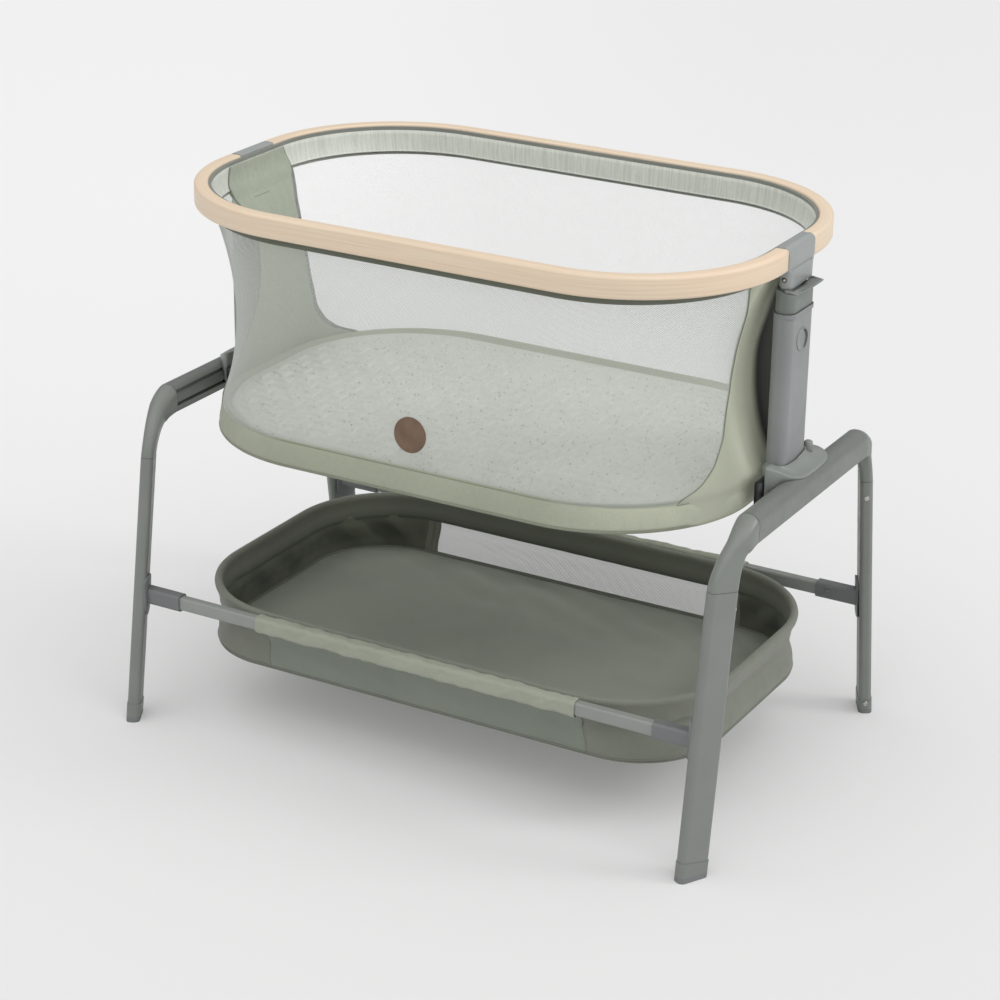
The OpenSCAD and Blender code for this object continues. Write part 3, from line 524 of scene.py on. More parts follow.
class Groups:
    """The node groups that more than one finish uses."""

    def __init__(self) -> None:
        """Builds each group once."""
        self.weave = self._weave()
        self.melange = self._melange()
        self.paint = self._paint()
        self.folds = self._folds()

    def _weave(self) -> bpy.types.NodeTree:
        """Plain weave: warp and weft cross over in turn, so each thread is a short hump.

        Returns:
            The group.
        """
        t = new_group("weave", {"Vector": ("Vector", None), "Pitch": ("Float", 0.0007)},
                      {"Height": "Float", "Shade": "Float"})
        vector = t.source.outputs["Vector"]
        turns = t.math("DIVIDE", math.pi, t.source.outputs["Pitch"])
        part = t.node("SeparateXYZ", {0: vector})
        warp, weft = (t.math("SINE", t.math("MULTIPLY", part.outputs[k], turns)) for k in (0, 1))
        hump = t.math("ABSOLUTE", t.math("MULTIPLY", warp, weft))
        uneven = t.noise(vector, 420.0, 1.0)
        height = t.math("ADD", t.math("MULTIPLY", hump, 0.8), t.math("MULTIPLY", uneven, 0.4))
        # Painted shade: Shade darkens the weave between the threads' humps.
        t.feed(t.sink, {"Height": height, "Shade": t.span(hump, 0.0, 0.9, 0.86, 1.04)})
        return t.tree

    def _melange(self) -> bpy.types.NodeTree:
        """Mixed yarn: long thin streaks along both threads and a few dark flecks.

        Returns:
            The group.
        """
        t = new_group("melange", {"Vector": ("Vector", None), "Base": ("Color", (0.5, 0.5, 0.5, 1)),
                                  "Dark": ("Color", (0.2, 0.2, 0.2, 1)), "Streaks": ("Float", 0.5),
                                  "Flecks": ("Float", 0.5), "Slub": ("Float", 0.0)},
                      {"Color": "Color"})
        take = t.source.outputs
        vector, dark = take["Vector"], take["Dark"]
        warp, weft = t.drawn(vector, 90, 1500), t.drawn(vector, 1500, 90)
        both = t.math("ADD", t.span(warp, 0.4, 0.75), t.span(weft, 0.4, 0.75))
        streak = t.math("MULTIPLY", both, take["Streaks"])
        cells = t.node("TexVoronoi", {"Vector": vector, "Scale": 150.0, "Randomness": 1.0},
                       voronoi_dimensions="2D")
        pick = t.node("SeparateColor", {0: cells.outputs["Color"]})
        near = t.span(cells.outputs["Distance"], 0.10, 0.2, 1.0, 0.0)
        few = t.span(pick.outputs[0], 0.7, 0.76)
        fleck = t.math("MULTIPLY", t.math("MULTIPLY", near, few), take["Flecks"])
        thick = t.span(t.drawn(vector, 430, 16, 3.0, 0.65), 0.36, 0.7)
        tone = t.math("ADD", t.math("MULTIPLY", streak, 0.35), t.math("MULTIPLY", thick, take["Slub"]))
        shade = t.mix(tone, take["Base"], dark)
        t.feed(t.sink, {"Color": t.mix(fleck, shade, dark)})
        return t.tree

    def _paint(self) -> bpy.types.NodeTree:
        """Powder coat or moulded grain: a fine orange peel and slow changes of shade.

        Returns:
            The group.
        """
        t = new_group("paint", {"Vector": ("Vector", None), "Color": ("Color", (0.3, 0.3, 0.3, 1)),
                                "Roughness": ("Float", 0.4), "Grain": ("Float", 900.0)},
                      {"Color": "Color", "Roughness": "Float", "Height": "Float"})
        take = t.source.outputs
        vector = take["Vector"]
        slow = t.noise(vector, 14.0, 3.0)
        hand = t.noise(vector, 60.0, 4.0, 0.6)
        value = t.span(slow, 0.3, 0.7, 0.965, 1.035)
        shade = t.node("HueSaturation", {"Color": take["Color"], "Value": value})
        rough = t.math("ADD", take["Roughness"], t.span(hand, 0.35, 0.75, -0.03, 0.07))
        grain = t.noise(vector, take["Grain"])
        t.feed(t.sink, {"Color": shade.outputs[0], "Roughness": rough, "Height": grain})
        return t.tree

    def _folds(self) -> bpy.types.NodeTree:
        """Soft creases of stretched cloth, with painted shade where they dip and painted light on their
        crests.

        Returns:
            The group.
        """
        t = new_group("folds", {"Vector": ("Vector", None)}, {"Height": "Float", "Shade": "Float"})
        bent = t.node("Mapping", {"Vector": t.source.outputs["Vector"], "Scale": (1, 1, 0.35)})
        wave = t.node("TexNoise", {"Vector": bent.outputs[0], "Scale": 9.0, "Detail": 3.0,
                                   "Distortion": 0.6}).outputs["Fac"]
        t.feed(t.sink, {"Height": wave, "Shade": t.span(wave, 0.3, 0.7, 0.96, 1.03)})
        return t.tree


class Coords(Enum):
    """Where a finish's pattern takes its place from."""

    OBJECT = "Object"
    UV = "UV"


@dataclass(frozen=True)
class Finish:
    """A surface finish, which builds its material from its own values."""

    name: str
    slot: str
    color: tuple[float, float, float, float]
    roughness: float = 0.5

    def start(self) -> tuple[Tree, bpy.types.Node, bpy.types.Material]:
        """Starts the material with a Principled BSDF wired to its output.

        Returns:
            The tree, the shader and the material.
        """
        material = bpy.data.materials.new(self.name)
        material.use_nodes = True
        t = Tree(material.node_tree)
        shader = t.node("BsdfPrincipled", {"Roughness": self.roughness, "Base Color": self.color})
        t.node("OutputMaterial", {"Surface": shader.outputs[0]})
        return t, shader, material

    def coords(self, t: Tree, kind: Coords = Coords.OBJECT) -> bpy.types.NodeSocket:
        """Vector socket of the pattern's coordinates, in metres."""
        return t.node("TexCoord").outputs[kind.value]

    def bump(self, t: Tree, shader: bpy.types.Node, height: object, distance: float,
             strength: float = 1.0, under: bpy.types.NodeSocket | None = None) -> bpy.types.NodeSocket:
        """Adds a bump of that depth in metres to the shader's normal, over another if given.

        Args:
            t: The material's tree.
            shader: The shader that takes the bump.
            height: Output that gives its height.
            distance: Its depth in metres.
            strength: Its strength, from 0 to 1.
            under: Normal output of a bump below it.

        Returns:
            Its normal output.
        """
        inputs = {"Height": height, "Distance": distance, "Strength": strength}
        if under is not None:
            inputs["Normal"] = under
        normal = t.node("Bump", inputs).outputs[0]
        t.feed(shader, {"Normal": normal})
        return normal

    def build(self, groups: Groups) -> bpy.types.Material:
        """The finished material."""
        return self.start()[2]


@dataclass(frozen=True)
class Paint(Finish):
    """Powder-coated metal or finely grained moulded plastic."""

    grain: float = 900.0
    depth: float = 0.00002
    metallic: float = 0.0

    def build(self, groups: Groups) -> bpy.types.Material:
        """Colour and roughness vary slowly under a fine grain.

        Args:
            groups: The shared node groups.

        Returns:
            The material.
        """
        t, shader, material = self.start()
        coat = t.node("Group", {"Vector": self.coords(t), "Color": self.color, "Roughness": self.roughness,
                                "Grain": self.grain}, node_tree=groups.paint)
        t.feed(shader, {"Base Color": coat.outputs["Color"], "Roughness": coat.outputs["Roughness"],
                        "Metallic": self.metallic})
        self.bump(t, shader, coat.outputs["Height"], self.depth)
        return material


@dataclass(frozen=True)
class Wood(Finish):
    """Pale straight-grained wood with a thin matte lacquer; the grain follows the rim."""

    dark: tuple[float, float, float, float] = (0.4, 0.3, 0.2, 1)
    warm: tuple[float, float, float, float] = rgb(232, 200, 172)

    def build(self, groups: Groups) -> bpy.types.Material:
        """Grain lines are noise drawn out along u, with pores and slow bands of tone.

        Args:
            groups: The shared node groups.

        Returns:
            The material.
        """
        t, shader, material = self.start()
        uv = self.coords(t, Coords.UV)
        fine, bands = t.drawn(uv, 9, 820, 4.0, 0.6), t.drawn(uv, 4.5, 330, 3.0)
        slow, pores = t.drawn(uv, 3.5, 40), t.drawn(uv, 60, 2600)
        tone = t.math("ADD", t.span(bands, 0.35, 0.72, 0.0, 0.3), t.span(fine, 0.42, 0.75, 0.0, 0.34))
        striped = t.mix(tone, self.color, self.dark)
        warmed = t.mix(t.span(slow, 0.3, 0.75, 0.0, 0.3), striped, self.warm)
        t.feed(shader, {"Base Color": t.mix(t.span(pores, 0.66, 0.8, 0.0, 0.2), warmed, self.dark),
                        "Roughness": t.span(fine, 0.3, 0.8, self.roughness - 0.05, self.roughness + 0.08),
                        "Coat Weight": 0.12, "Coat Roughness": 0.35})
        self.bump(t, shader, fine, 0.00006)
        return material


@dataclass(frozen=True)
class Cloth(Finish):
    """Woven cloth, plain or of mixed yarn, by default on the piece's UV map in metres."""

    dark: tuple[float, float, float, float] = (0.1, 0.1, 0.1, 1)
    pitch: float = 0.0008
    streaks: float = 0.5
    flecks: float = 0.0
    sheen: float = 0.15
    crease: float = 0.0006
    slub: float = 0.0
    coords_from: Coords = Coords.UV

    def build(self, groups: Groups) -> bpy.types.Material:
        """Weave, yarn streaks and soft creases shade and raise the surface.

        A point attribute of the piece brings out the dark tone: along seams, and as painted shade and painted
        light on some pieces.

        Args:
            groups: The shared node groups.

        Returns:
            The material.
        """
        t, shader, material = self.start()
        pattern = self.coords(t, self.coords_from)
        yarn = t.node("Group", {"Vector": pattern, "Base": self.color, "Dark": self.dark, "Slub": self.slub,
                                "Streaks": self.streaks, "Flecks": self.flecks}, node_tree=groups.melange)
        weave = t.node("Group", {"Vector": pattern, "Pitch": self.pitch}, node_tree=groups.weave)
        folds = t.node("Group", {"Vector": self.coords(t)}, node_tree=groups.folds)
        shade = t.math("MULTIPLY", weave.outputs["Shade"], folds.outputs["Shade"])
        color = t.node("HueSaturation", {"Color": yarn.outputs["Color"], "Value": shade})
        seam_and_shade = t.node("Attribute", attribute_name="seam_and_shade").outputs["Fac"]
        t.feed(shader, {"Base Color": t.mix(seam_and_shade, color.outputs[0], self.dark), "Sheen Weight": self.sheen,
                        "Sheen Roughness": 0.5, "Specular IOR Level": 0.25})
        creased = self.bump(t, shader, folds.outputs["Height"], self.crease)
        self.bump(t, shader, weave.outputs["Height"], 0.00012, 0.8, creased)
        return material


@dataclass(frozen=True)
class Net(Finish):
    """Knitted mesh with round holes in a staggered pattern, on the UV map in metres.

    The yarn's thickness closes the holes where the mesh is seen at a slant.
    """

    pitch: float = 0.0022
    thick: float = 0.55
    open_share: float = 0.58

    def threshold(self) -> float:
        """Value of the three waves' sum above which the open share of the area lies.

        Returns:
            The value.
        """
        full = 2 * FULL_TURN
        u, v = np.meshgrid(np.linspace(0, full, 200), np.linspace(0, full / math.sqrt(3), 200))
        half = v * math.sqrt(0.75)
        total = np.cos(u) + np.cos(u / 2 - half) + np.cos(u / 2 + half)
        return float(np.quantile(total, 1 - self.open_share))

    def build(self, groups: Groups) -> bpy.types.Material:
        """Three waves at 60 degrees add up to a honeycomb, and its hollows are cut out.

        Args:
            groups: The shared node groups.

        Returns:
            The material.
        """
        t, shader, material = self.start()
        part = t.node("SeparateXYZ", {0: self.coords(t, Coords.UV)})
        turns = 2 * FULL_TURN / (math.sqrt(3) * self.pitch)
        u, v = (t.math("MULTIPLY", part.outputs[k], turns) for k in (0, 1))
        waves = []
        for c, s in ((1.0, 0.0), (-0.5, math.sqrt(0.75)), (-0.5, -math.sqrt(0.75))):
            lean = t.math("ADD", t.math("MULTIPLY", u, c), t.math("MULTIPLY", v, s))
            waves.append(t.math("COSINE", lean))
        total = t.math("ADD", t.math("ADD", waves[0], waves[1]), waves[2])
        edge = self.threshold()
        facing = t.node("LayerWeight", {"Blend": 0.5}).outputs["Facing"]
        turned = t.math("MAXIMUM", t.math("SUBTRACT", 1.0, facing), 0.06)
        closing = t.math("MULTIPLY", t.math("SUBTRACT", t.math("DIVIDE", 1.0, turned), 1.0), self.thick)
        cover = t.span(t.math("SUBTRACT", total, closing), edge + 0.25, edge - 0.25)
        t.feed(shader, {"Alpha": cover, "Specular IOR Level": 0.2, "Sheen Weight": 0.1})
        self.bump(t, shader, total, 0.0001)
        return material


@dataclass(frozen=True)
class Leather(Finish):
    """Vegetable-tanned leather with fine pores and slow changes of tone."""

    dark: tuple[float, float, float, float] = (0.05, 0.03, 0.02, 1)

    def build(self, groups: Groups) -> bpy.types.Material:
        """Pores come from small cells and the tone from slow noise.

        Args:
            groups: The shared node groups.

        Returns:
            The material.
        """
        t, shader, material = self.start()
        place = self.coords(t)
        cells = t.node("TexVoronoi", {"Vector": place, "Scale": 1100.0}).outputs["Distance"]
        slow = t.noise(place, 70.0, 4.0, 0.6)
        t.feed(shader, {"Base Color": t.mix(t.span(slow, 0.3, 0.75, 0.0, 0.5), self.color, self.dark),
                        "Specular IOR Level": 0.35})
        self.bump(t, shader, t.math("ADD", cells, t.math("MULTIPLY", slow, 0.6)), 0.0001)
        return material


@dataclass(frozen=True)
class Palette:
    """All finishes of the bassinet."""

    frame: Paint = Paint("frame_paint", "frame_grey", rgb(124, 127, 124), 0.4)
    elbow: Paint = Paint("elbow_plastic", "elbow_grey", rgb(122, 126, 121), 0.38)
    beam: Paint = Paint("beam_paint", "frame_grey", rgb(113, 117, 113), 0.42)
    bar: Paint = Paint("crossbar_paint", "frame_grey", rgb(140, 143, 139), 0.4)
    post: Paint = Paint("post_paint", "frame_grey", rgb(133, 136, 136), 0.38)
    moulded: Paint = Paint("moulded_plastic", "moulded_grey", rgb(134, 139, 136), 0.42, grain=1600)
    casing: Paint = Paint("casing_plastic", "moulded_grey", rgb(118, 123, 119), 0.42, grain=1600)
    socket: Paint = Paint("socket_plastic", "moulded_grey", rgb(112, 114, 115), 0.46, grain=1600)
    bracket: Paint = Paint("bracket_paint", "bracket_grey", rgb(151, 155, 154), 0.38)
    core: Paint = Paint("core_paint", "bracket_grey", rgb(128, 131, 124), 0.4)
    inner: Paint = Paint("inner_tube_metal", "inner_tube", rgb(190, 192, 194), 0.3, metallic=0.9)
    black: Paint = Paint("black_plastic", "black_plastic", rgb(34, 34, 34), 0.45, grain=1400, depth=0.00003)
    rubber: Paint = Paint("sole_rubber", "sole_rubber", rgb(118, 121, 121), 0.75, grain=700, depth=0.00005)
    steel: Paint = Paint("screw_steel", "screw_steel", rgb(200, 198, 194), 0.24, metallic=1.0)
    wood: Wood = Wood("rim_wood", "rim_wood", rgb(229, 211, 187), 0.5, dark=rgb(208, 182, 152))
    sage: Cloth = Cloth("sage_cloth", "sage_fabric", rgb(186, 190, 170), 0.85, dark=rgb(90, 94, 80),
                        streaks=0.3)
    lining: Cloth = Cloth("lining_cloth", "lining_fabric", rgb(226, 228, 219), 0.85, dark=rgb(170, 174, 163),
                          streaks=0.4, slub=0.36)
    panel: Cloth = Cloth("panel_cloth", "sage_fabric", rgb(178, 184, 168), 0.85, dark=rgb(116, 124, 108),
                         streaks=0.5, slub=0.12)
    # Gusset: the near-black dark tone is painted shadow behind the posts, and the pale base is painted light
    # beside it.
    gusset: Cloth = Cloth("gusset_painted_shade_cloth", "sage_fabric", rgb(222, 226, 204), 0.9, dark=rgb(30, 31, 30),
                          streaks=0.0, sheen=0.0)
    quilt: Cloth = Cloth("quilt_cloth", "quilt_fabric", rgb(228, 231, 223), 0.85, dark=rgb(104, 108, 98),
                         streaks=0.3, flecks=0.9, crease=0.0002, coords_from=Coords.OBJECT)
    basket: Cloth = Cloth("basket_cloth", "basket_fabric", rgb(130, 133, 122), 0.8, dark=rgb(70, 73, 65),
                          streaks=0.25, sheen=0.2)
    # A darker copy of the basket cloth: painted shade inside the basket.
    basket_in: Cloth = Cloth("basket_inner_shade_cloth", "basket_fabric", rgb(112, 115, 103), 0.85,
                             dark=rgb(44, 46, 40), streaks=0.2)
    floor: Cloth = Cloth("basket_floor_cloth", "basket_fabric", rgb(152, 156, 145), 0.75,
                         dark=rgb(84, 88, 78), streaks=0.2, sheen=0.2)
    basket_net: Cloth = Cloth("basket_panel_cloth", "basket_fabric", rgb(134, 141, 130), 0.8,
                              dark=rgb(92, 100, 90), streaks=0.2, sheen=0.2)
    sleeve: Cloth = Cloth("bar_sleeve_cloth", "basket_fabric", rgb(163, 167, 152), 0.85,
                          dark=rgb(112, 116, 102), streaks=0.25)
    seam: Cloth = Cloth("seam_tape", "sage_fabric", rgb(138, 144, 127), 0.85, dark=rgb(90, 96, 84),
                        coords_from=Coords.OBJECT)
    tape: Cloth = Cloth("hem_tape", "sage_fabric", rgb(112, 117, 104), 0.85, dark=rgb(76, 80, 70))
    # Front and back are one knit: the back's paler colour and the front's darker one are painted light and
    # shade.
    net: Net = Net("bowl_mesh_front", "pale_mesh", rgb(192, 196, 190), 0.8)
    net_back: Net = Net("bowl_mesh_back", "pale_mesh", rgb(238, 239, 238), 0.8, thick=0.35, open_share=0.84)
    window: Net = Net("basket_mesh", "basket_fabric", rgb(200, 203, 203), 0.8, open_share=0.4)
    leather: Leather = Leather("patch_leather", "sage_fabric", rgb(120, 98, 81), 0.6, dark=rgb(86, 70, 57))


class Held(Enum):
    """How a sheet is held in its place."""

    STRETCHED = "stretched"
    HUNG = "hung"
    LAID = "laid"


class Wardrobe:
    """Builds each finish once and puts it on pieces."""

    def __init__(self, palette: Palette) -> None:
        """Starts with the shared node groups.

        Args:
            palette: The finishes.
        """
        self.groups = Groups()
        self.palette = palette
        self.made: dict[str, bpy.types.Material] = {}

    def material(self, finish: Finish) -> bpy.types.Material:
        """The finish's material, built on first use.

        Args:
            finish: The finish.

        Returns:
            Its material.
        """
        if finish.name not in self.made:
            self.made[finish.name] = finish.build(self.groups)
        return self.made[finish.name]

    def coat(self, piece: bpy.types.Object, finish: Finish) -> None:
        """Gives a piece or a CAD node that stays its finish.

        Args:
            piece: The piece.
            finish: Its finish.
        """
        piece.data.materials.clear()
        piece.data.materials.append(self.material(finish))

    def dress(self, piece: bpy.types.Object, finish: Finish, body: str, *nodes: str) -> None:
        """Gives a new piece its finish and its body, and hides the nodes that it replaces.

        Args:
            piece: The piece.
            finish: Its finish.
            body: The body that it rides on.
            nodes: The CAD nodes that it replaces.
        """
        self.coat(piece, finish)
        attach(piece, body)
        if nodes:
            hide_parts(*nodes)
        LOG.info("%s rides on %s, finished in %s", piece.name, body, finish.name)

    def cloth(self, sheet: Sheet, finish: Finish, body: str, held: Held, rests_on: str, *nodes: str,
              thick: float = 0.0, offset: float = -1.0) -> None:
        """Args:
            sheet: The piece and its grid of points.
            finish: Its finish.
            body: The body that it rides on.
            held: How it is held in its place; not used.
            rests_on: The piece, node or body that carries it; not used.
            nodes: The CAD nodes that it replaces.
            thick: Its thickness in millimetres; 0 leaves it a single layer.
            offset: The side on which the thickness lies, -1 for inwards.
        """
        piece, points = sheet
        if thick:
            thicken(piece, thick, offset)
        self.dress(piece, finish, body, *nodes)


# Studio
@dataclass
class Studio:
    """Camera at the photograph's place, pale floor and soft light."""

    position: tuple[float, float, float] = (1.78184, -3.16462, 1.83535)
    azimuth: float = 29.493
    elevation: float = 22.381
    roll: float = 0.809
    lens: float = 98.0
    sensor: float = 36.0
    floor_half: float = 30000.0
    low_light: float = 0.36
    high_light: float = 1.6

    def camera(self) -> None:
        """The camera's axes come from its azimuth, elevation and roll, in degrees."""
        a, e, r = (math.radians(x) for x in (self.azimuth, self.elevation, self.roll))
        back = np.array([math.sin(a) * math.cos(e), -math.cos(a) * math.cos(e), math.sin(e)])
        right = np.cross(-back, (0, 0, 1))
        right /= np.linalg.norm(right)
        up = np.cross(right, -back)
        right, up = (math.cos(r) * right + math.sin(r) * up, -math.sin(r) * right + math.cos(r) * up)
        data = bpy.data.cameras.new("camera")
        data.lens = self.lens
        data.sensor_width = self.sensor
        data.clip_end = 100
        camera = placed("camera", data)
        camera.matrix_world = standing(right, up, back, self.position)
        bpy.context.scene.camera = camera

    def floor(self) -> None:
        """A wide pale plane, which the camera sees partly by its own light, so it stays pale.

        Its tone follows the picture: a little darker in front and on the right.
        """
        size = self.floor_half
        corners = [[[-size, -size, 0], [-size, size, 0]], [[size, -size, 0], [size, size, 0]]]
        plane = lattice("floor", np.array(corners))
        material = bpy.data.materials.new("floor_paper")
        material.use_nodes = True
        t = Tree(material.node_tree)
        turned = t.node("Mapping", {"Vector": t.node("TexCoord").outputs["Object"],
                                    "Rotation": (0, 0, -math.radians(self.azimuth))})
        place = t.node("SeparateXYZ", {0: turned.outputs[0]})
        # Painted shade: the floor's colour is a little darker in front and on the right.
        value = t.math("MULTIPLY", t.span(place.outputs[1], -2.0, 3.0, 0.735, 0.85),
                       t.span(place.outputs[0], -0.9, 0.9, 1.0, 0.93))
        tone = t.node("CombineColor", {0: value, 1: value, 2: value}).outputs[0]
        paper = t.node("BsdfDiffuse", {"Color": tone})
        glow = t.node("Emission", {"Color": (0.82, 0.82, 0.82, 1), "Strength": 1.0})
        seen = t.math("MULTIPLY", t.node("LightPath").outputs["Is Camera Ray"], 0.2)
        both = t.node("MixShader", {0: seen, 1: paper.outputs[0], 2: glow.outputs[0]})
        t.node("OutputMaterial", {"Surface": both.outputs[0]})
        plane.data.materials.append(material)

    def lamp(self, name: str, place: tuple[float, float, float], aim: tuple[float, float, float],
             size: float, watts: float) -> None:
        """A square soft box of that size in metres, turned towards a point.

        Args:
            name: Its name.
            place: Its place in metres.
            aim: The point that it shines at.
            size: Length of its sides.
            watts: Its power.
        """
        data = bpy.data.lights.new(name, "AREA")
        data.shape = "SQUARE"
        data.size = size
        data.energy = watts
        back = np.array(place) - np.array(aim)
        back /= np.linalg.norm(back)
        right = np.cross((0, 0, 1), back)
        right /= np.linalg.norm(right)
        placed(name, data).matrix_world = standing(right, np.cross(back, right), back, place)

    def world(self) -> None:
        """Light from all round: bright overhead, weaker low down, a little more from the right."""
        world = bpy.data.worlds.new("studio")
        world.use_nodes = True
        t = Tree(world.node_tree)
        part = t.node("SeparateXYZ", {0: t.node("TexCoord").outputs["Generated"]})
        high = t.span(part.outputs[2], 0.1, 0.95, self.low_light, self.high_light)
        right, deep = (t.math("MULTIPLY", part.outputs[k], much) for k, much in ((0, 0.5), (1, -0.9)))
        side = t.math("ADD", right, deep)
        power = t.math("MULTIPLY", high, t.span(side, -1.0, 1.0, 0.42, 1.3))
        soft = t.node("Background", {"Color": (1.0, 1.0, 1.0, 1), "Strength": power})
        wall = t.node("Background", {"Color": (0.84, 0.84, 0.84, 1), "Strength": 1.0})
        seen = t.node("LightPath").outputs["Is Camera Ray"]
        mixed = t.node("MixShader", {0: seen, 1: soft.outputs[0], 2: wall.outputs[0]})
        t.node("OutputWorld", {"Surface": mixed.outputs[0]})
        bpy.context.scene.world = world

    def build(self) -> None:
        """Sets the whole studio up."""
        bpy.context.scene.view_settings.view_transform = "Standard"
        self.camera()
        self.floor()
        self.world()
        self.lamp("key_box", (3.0, 0.95, 2.2), (0, 0, 0.4), 1.0, 24)


# Rim
@dataclass
class Rim:
    """Wooden bands, core profile and brackets round the bowl's top edge."""

    a: float = 440.0
    b: float = 279.4
    corner: float = 221.0
    top: float = 799.5
    height: float = 31.0
    thickness: float = 20.0
    bracket_half: float = 41.2
    bracket_gap: float = 0.3
    bracket_round: float = 0.6
    end_round: float = 0.5
    steps: int = 260

    def band(self, name: str, front: bool) -> bpy.types.Object:
        """One wooden band: its section carried round half the plan, by arc length.

        Args:
            name: Its name.
            front: Whether it is the front one.

        Returns:
            The piece.
        """
        quarter = float(quarter_length(self.a, self.b, self.corner))
        gap = self.bracket_half + self.bracket_gap
        s = np.linspace(2 * quarter + gap, 4 * quarter - gap, self.steps) - (0 if front else 2 * quarter)
        edge = np.array([0.0, self.end_round])
        s = np.concatenate([s[0] + edge, s[1:-1], s[-1] - edge[::-1]])
        x, y, nx, ny = (c[:, None] for c in plan_point(self.a, self.b, self.corner, s))
        ring = section(self.thickness, self.height, (4.5, 3, 3, 4), 7)
        less = np.zeros((len(s), 1))
        less[[0, -1]] = self.end_round
        less[[1, -2]] = 0.2 * self.end_round
        out = ring[:, 0] * (1 - 2 * less / self.thickness) - self.thickness / 2
        up = ring[:, 1] * (1 - 2 * less / self.height) + self.top - self.height / 2
        points = grid(x + nx * out, y + ny * out, up).transpose(1, 0, 2)
        around = distances(np.vstack([ring, ring[:1]]))
        uv = grid(s[None, :], around[:, None]) * MM
        return lattice(name, points, wrap_u=True, caps=True, uv=uv, flip=True)

    def build(self, w: Wardrobe) -> None:
        """Both bands and both brackets; the core keeps its CAD shape.

        Args:
            w: Dresses the pieces.
        """
        for face, _ in FACES:
            node = f"rim_wood_{face}"
            w.dress(self.band(node + "_grained", face == "front"), w.palette.wood, "bowl", node)
        w.coat(frame["nodes"]["rim_core"], w.palette.core)
        for side, _ in SIDES:
            w.dress(softened(f"rim_bracket_{side}", self.bracket_round), w.palette.bracket, "bowl")


# Bowl
@dataclass
class BowlShape:
    """The bowl's side surface: half sizes and corner radius at each height.

    The tables flare and front give what an end panel's half width gains over half_w, at
    shares of the height from the base to the rim; front is for the front edge alone.
    """

    top: float = 771.5
    bottom: float = 479.3
    top_a: float = 419.0
    top_b: float = 258.4
    top_r: float = 200.0
    low_a: float = 408.0
    low_b: float = 265.0
    low_r: float = 213.0
    waist_a: float = 36.0
    waist_b: float = 4.0
    waist_r: float = 10.8
    half_w: float = 50.0
    lean: float = 5.0
    rim_ease: float = 5.0
    flare_at: tuple[float, ...] = (0, 0.04, 0.115, 0.22, 0.41, 0.56, 0.68, 0.8, 0.92, 1)
    flare: tuple[float, ...] = (130, 97, 65, 38, 14, 5, 3.5, 7, 19, 26)
    front_at: tuple[float, ...] = (0, 0.6, 0.68, 0.75, 0.8, 0.857, 0.92, 0.967, 1)
    front: tuple[float, ...] = (0, 0, -2, -5, -2, 3, 10, 13, 14)

    def size(self, z: Array) -> tuple[Array, Array, Array]:
        """Half sizes and corner radius: a line from rim to base, less a parabola's waist.

        Args:
            z: Heights.

        Returns:
            Half sizes and corner radius.
        """
        t = np.minimum((self.top - z) / (self.top - self.bottom), 1)
        waist = 4 * t * (1 - t)
        a = self.top_a * (1 - t) + self.low_a * t - self.waist_a * waist
        b = self.top_b * (1 - t) + self.low_b * t - self.waist_b * waist
        r = self.top_r * (1 - t) + self.low_r * t - self.waist_r * waist
        return a, b, r

    def upright(self, z: Array) -> Array:
        """Height whose size serves at z: z itself lower down, held near the top under the rim."""
        return self.top - self.rim_ease * np.log1p(np.exp((self.top - z) / self.rim_ease))

    def panel_w(self, z: Array, sy: Array | int) -> Array:
        """Half width of an end panel at height z, on its front edge for sy < 0, else its back.

        Args:
            z: Heights.
            sy: Below 0 on the front edge, else on the back one.

        Returns:
            The half widths.
        """
        t = (z - self.bottom) / (self.top - self.bottom)
        flare = eased(t, self.flare_at, self.flare, (-0.02, 1.02), 400, 27)
        more = np.interp(t, self.front_at, self.front) * (np.asarray(sy) < 0)
        return self.half_w - self.lean * sy + flare + more

    def at(self, w: Array, z: Array) -> Array:
        """Arc length from (a, 0) at which the side reaches |y| = w.

        Args:
            w: Distances from the end's middle.
            z: Heights.

        Returns:
            The arc lengths.
        """
        _, b, r = self.size(z)
        over = np.clip((w - (b - r)) / r, 0, 1)
        return np.where(w <= b - r, w, (b - r) + r * np.arcsin(over))


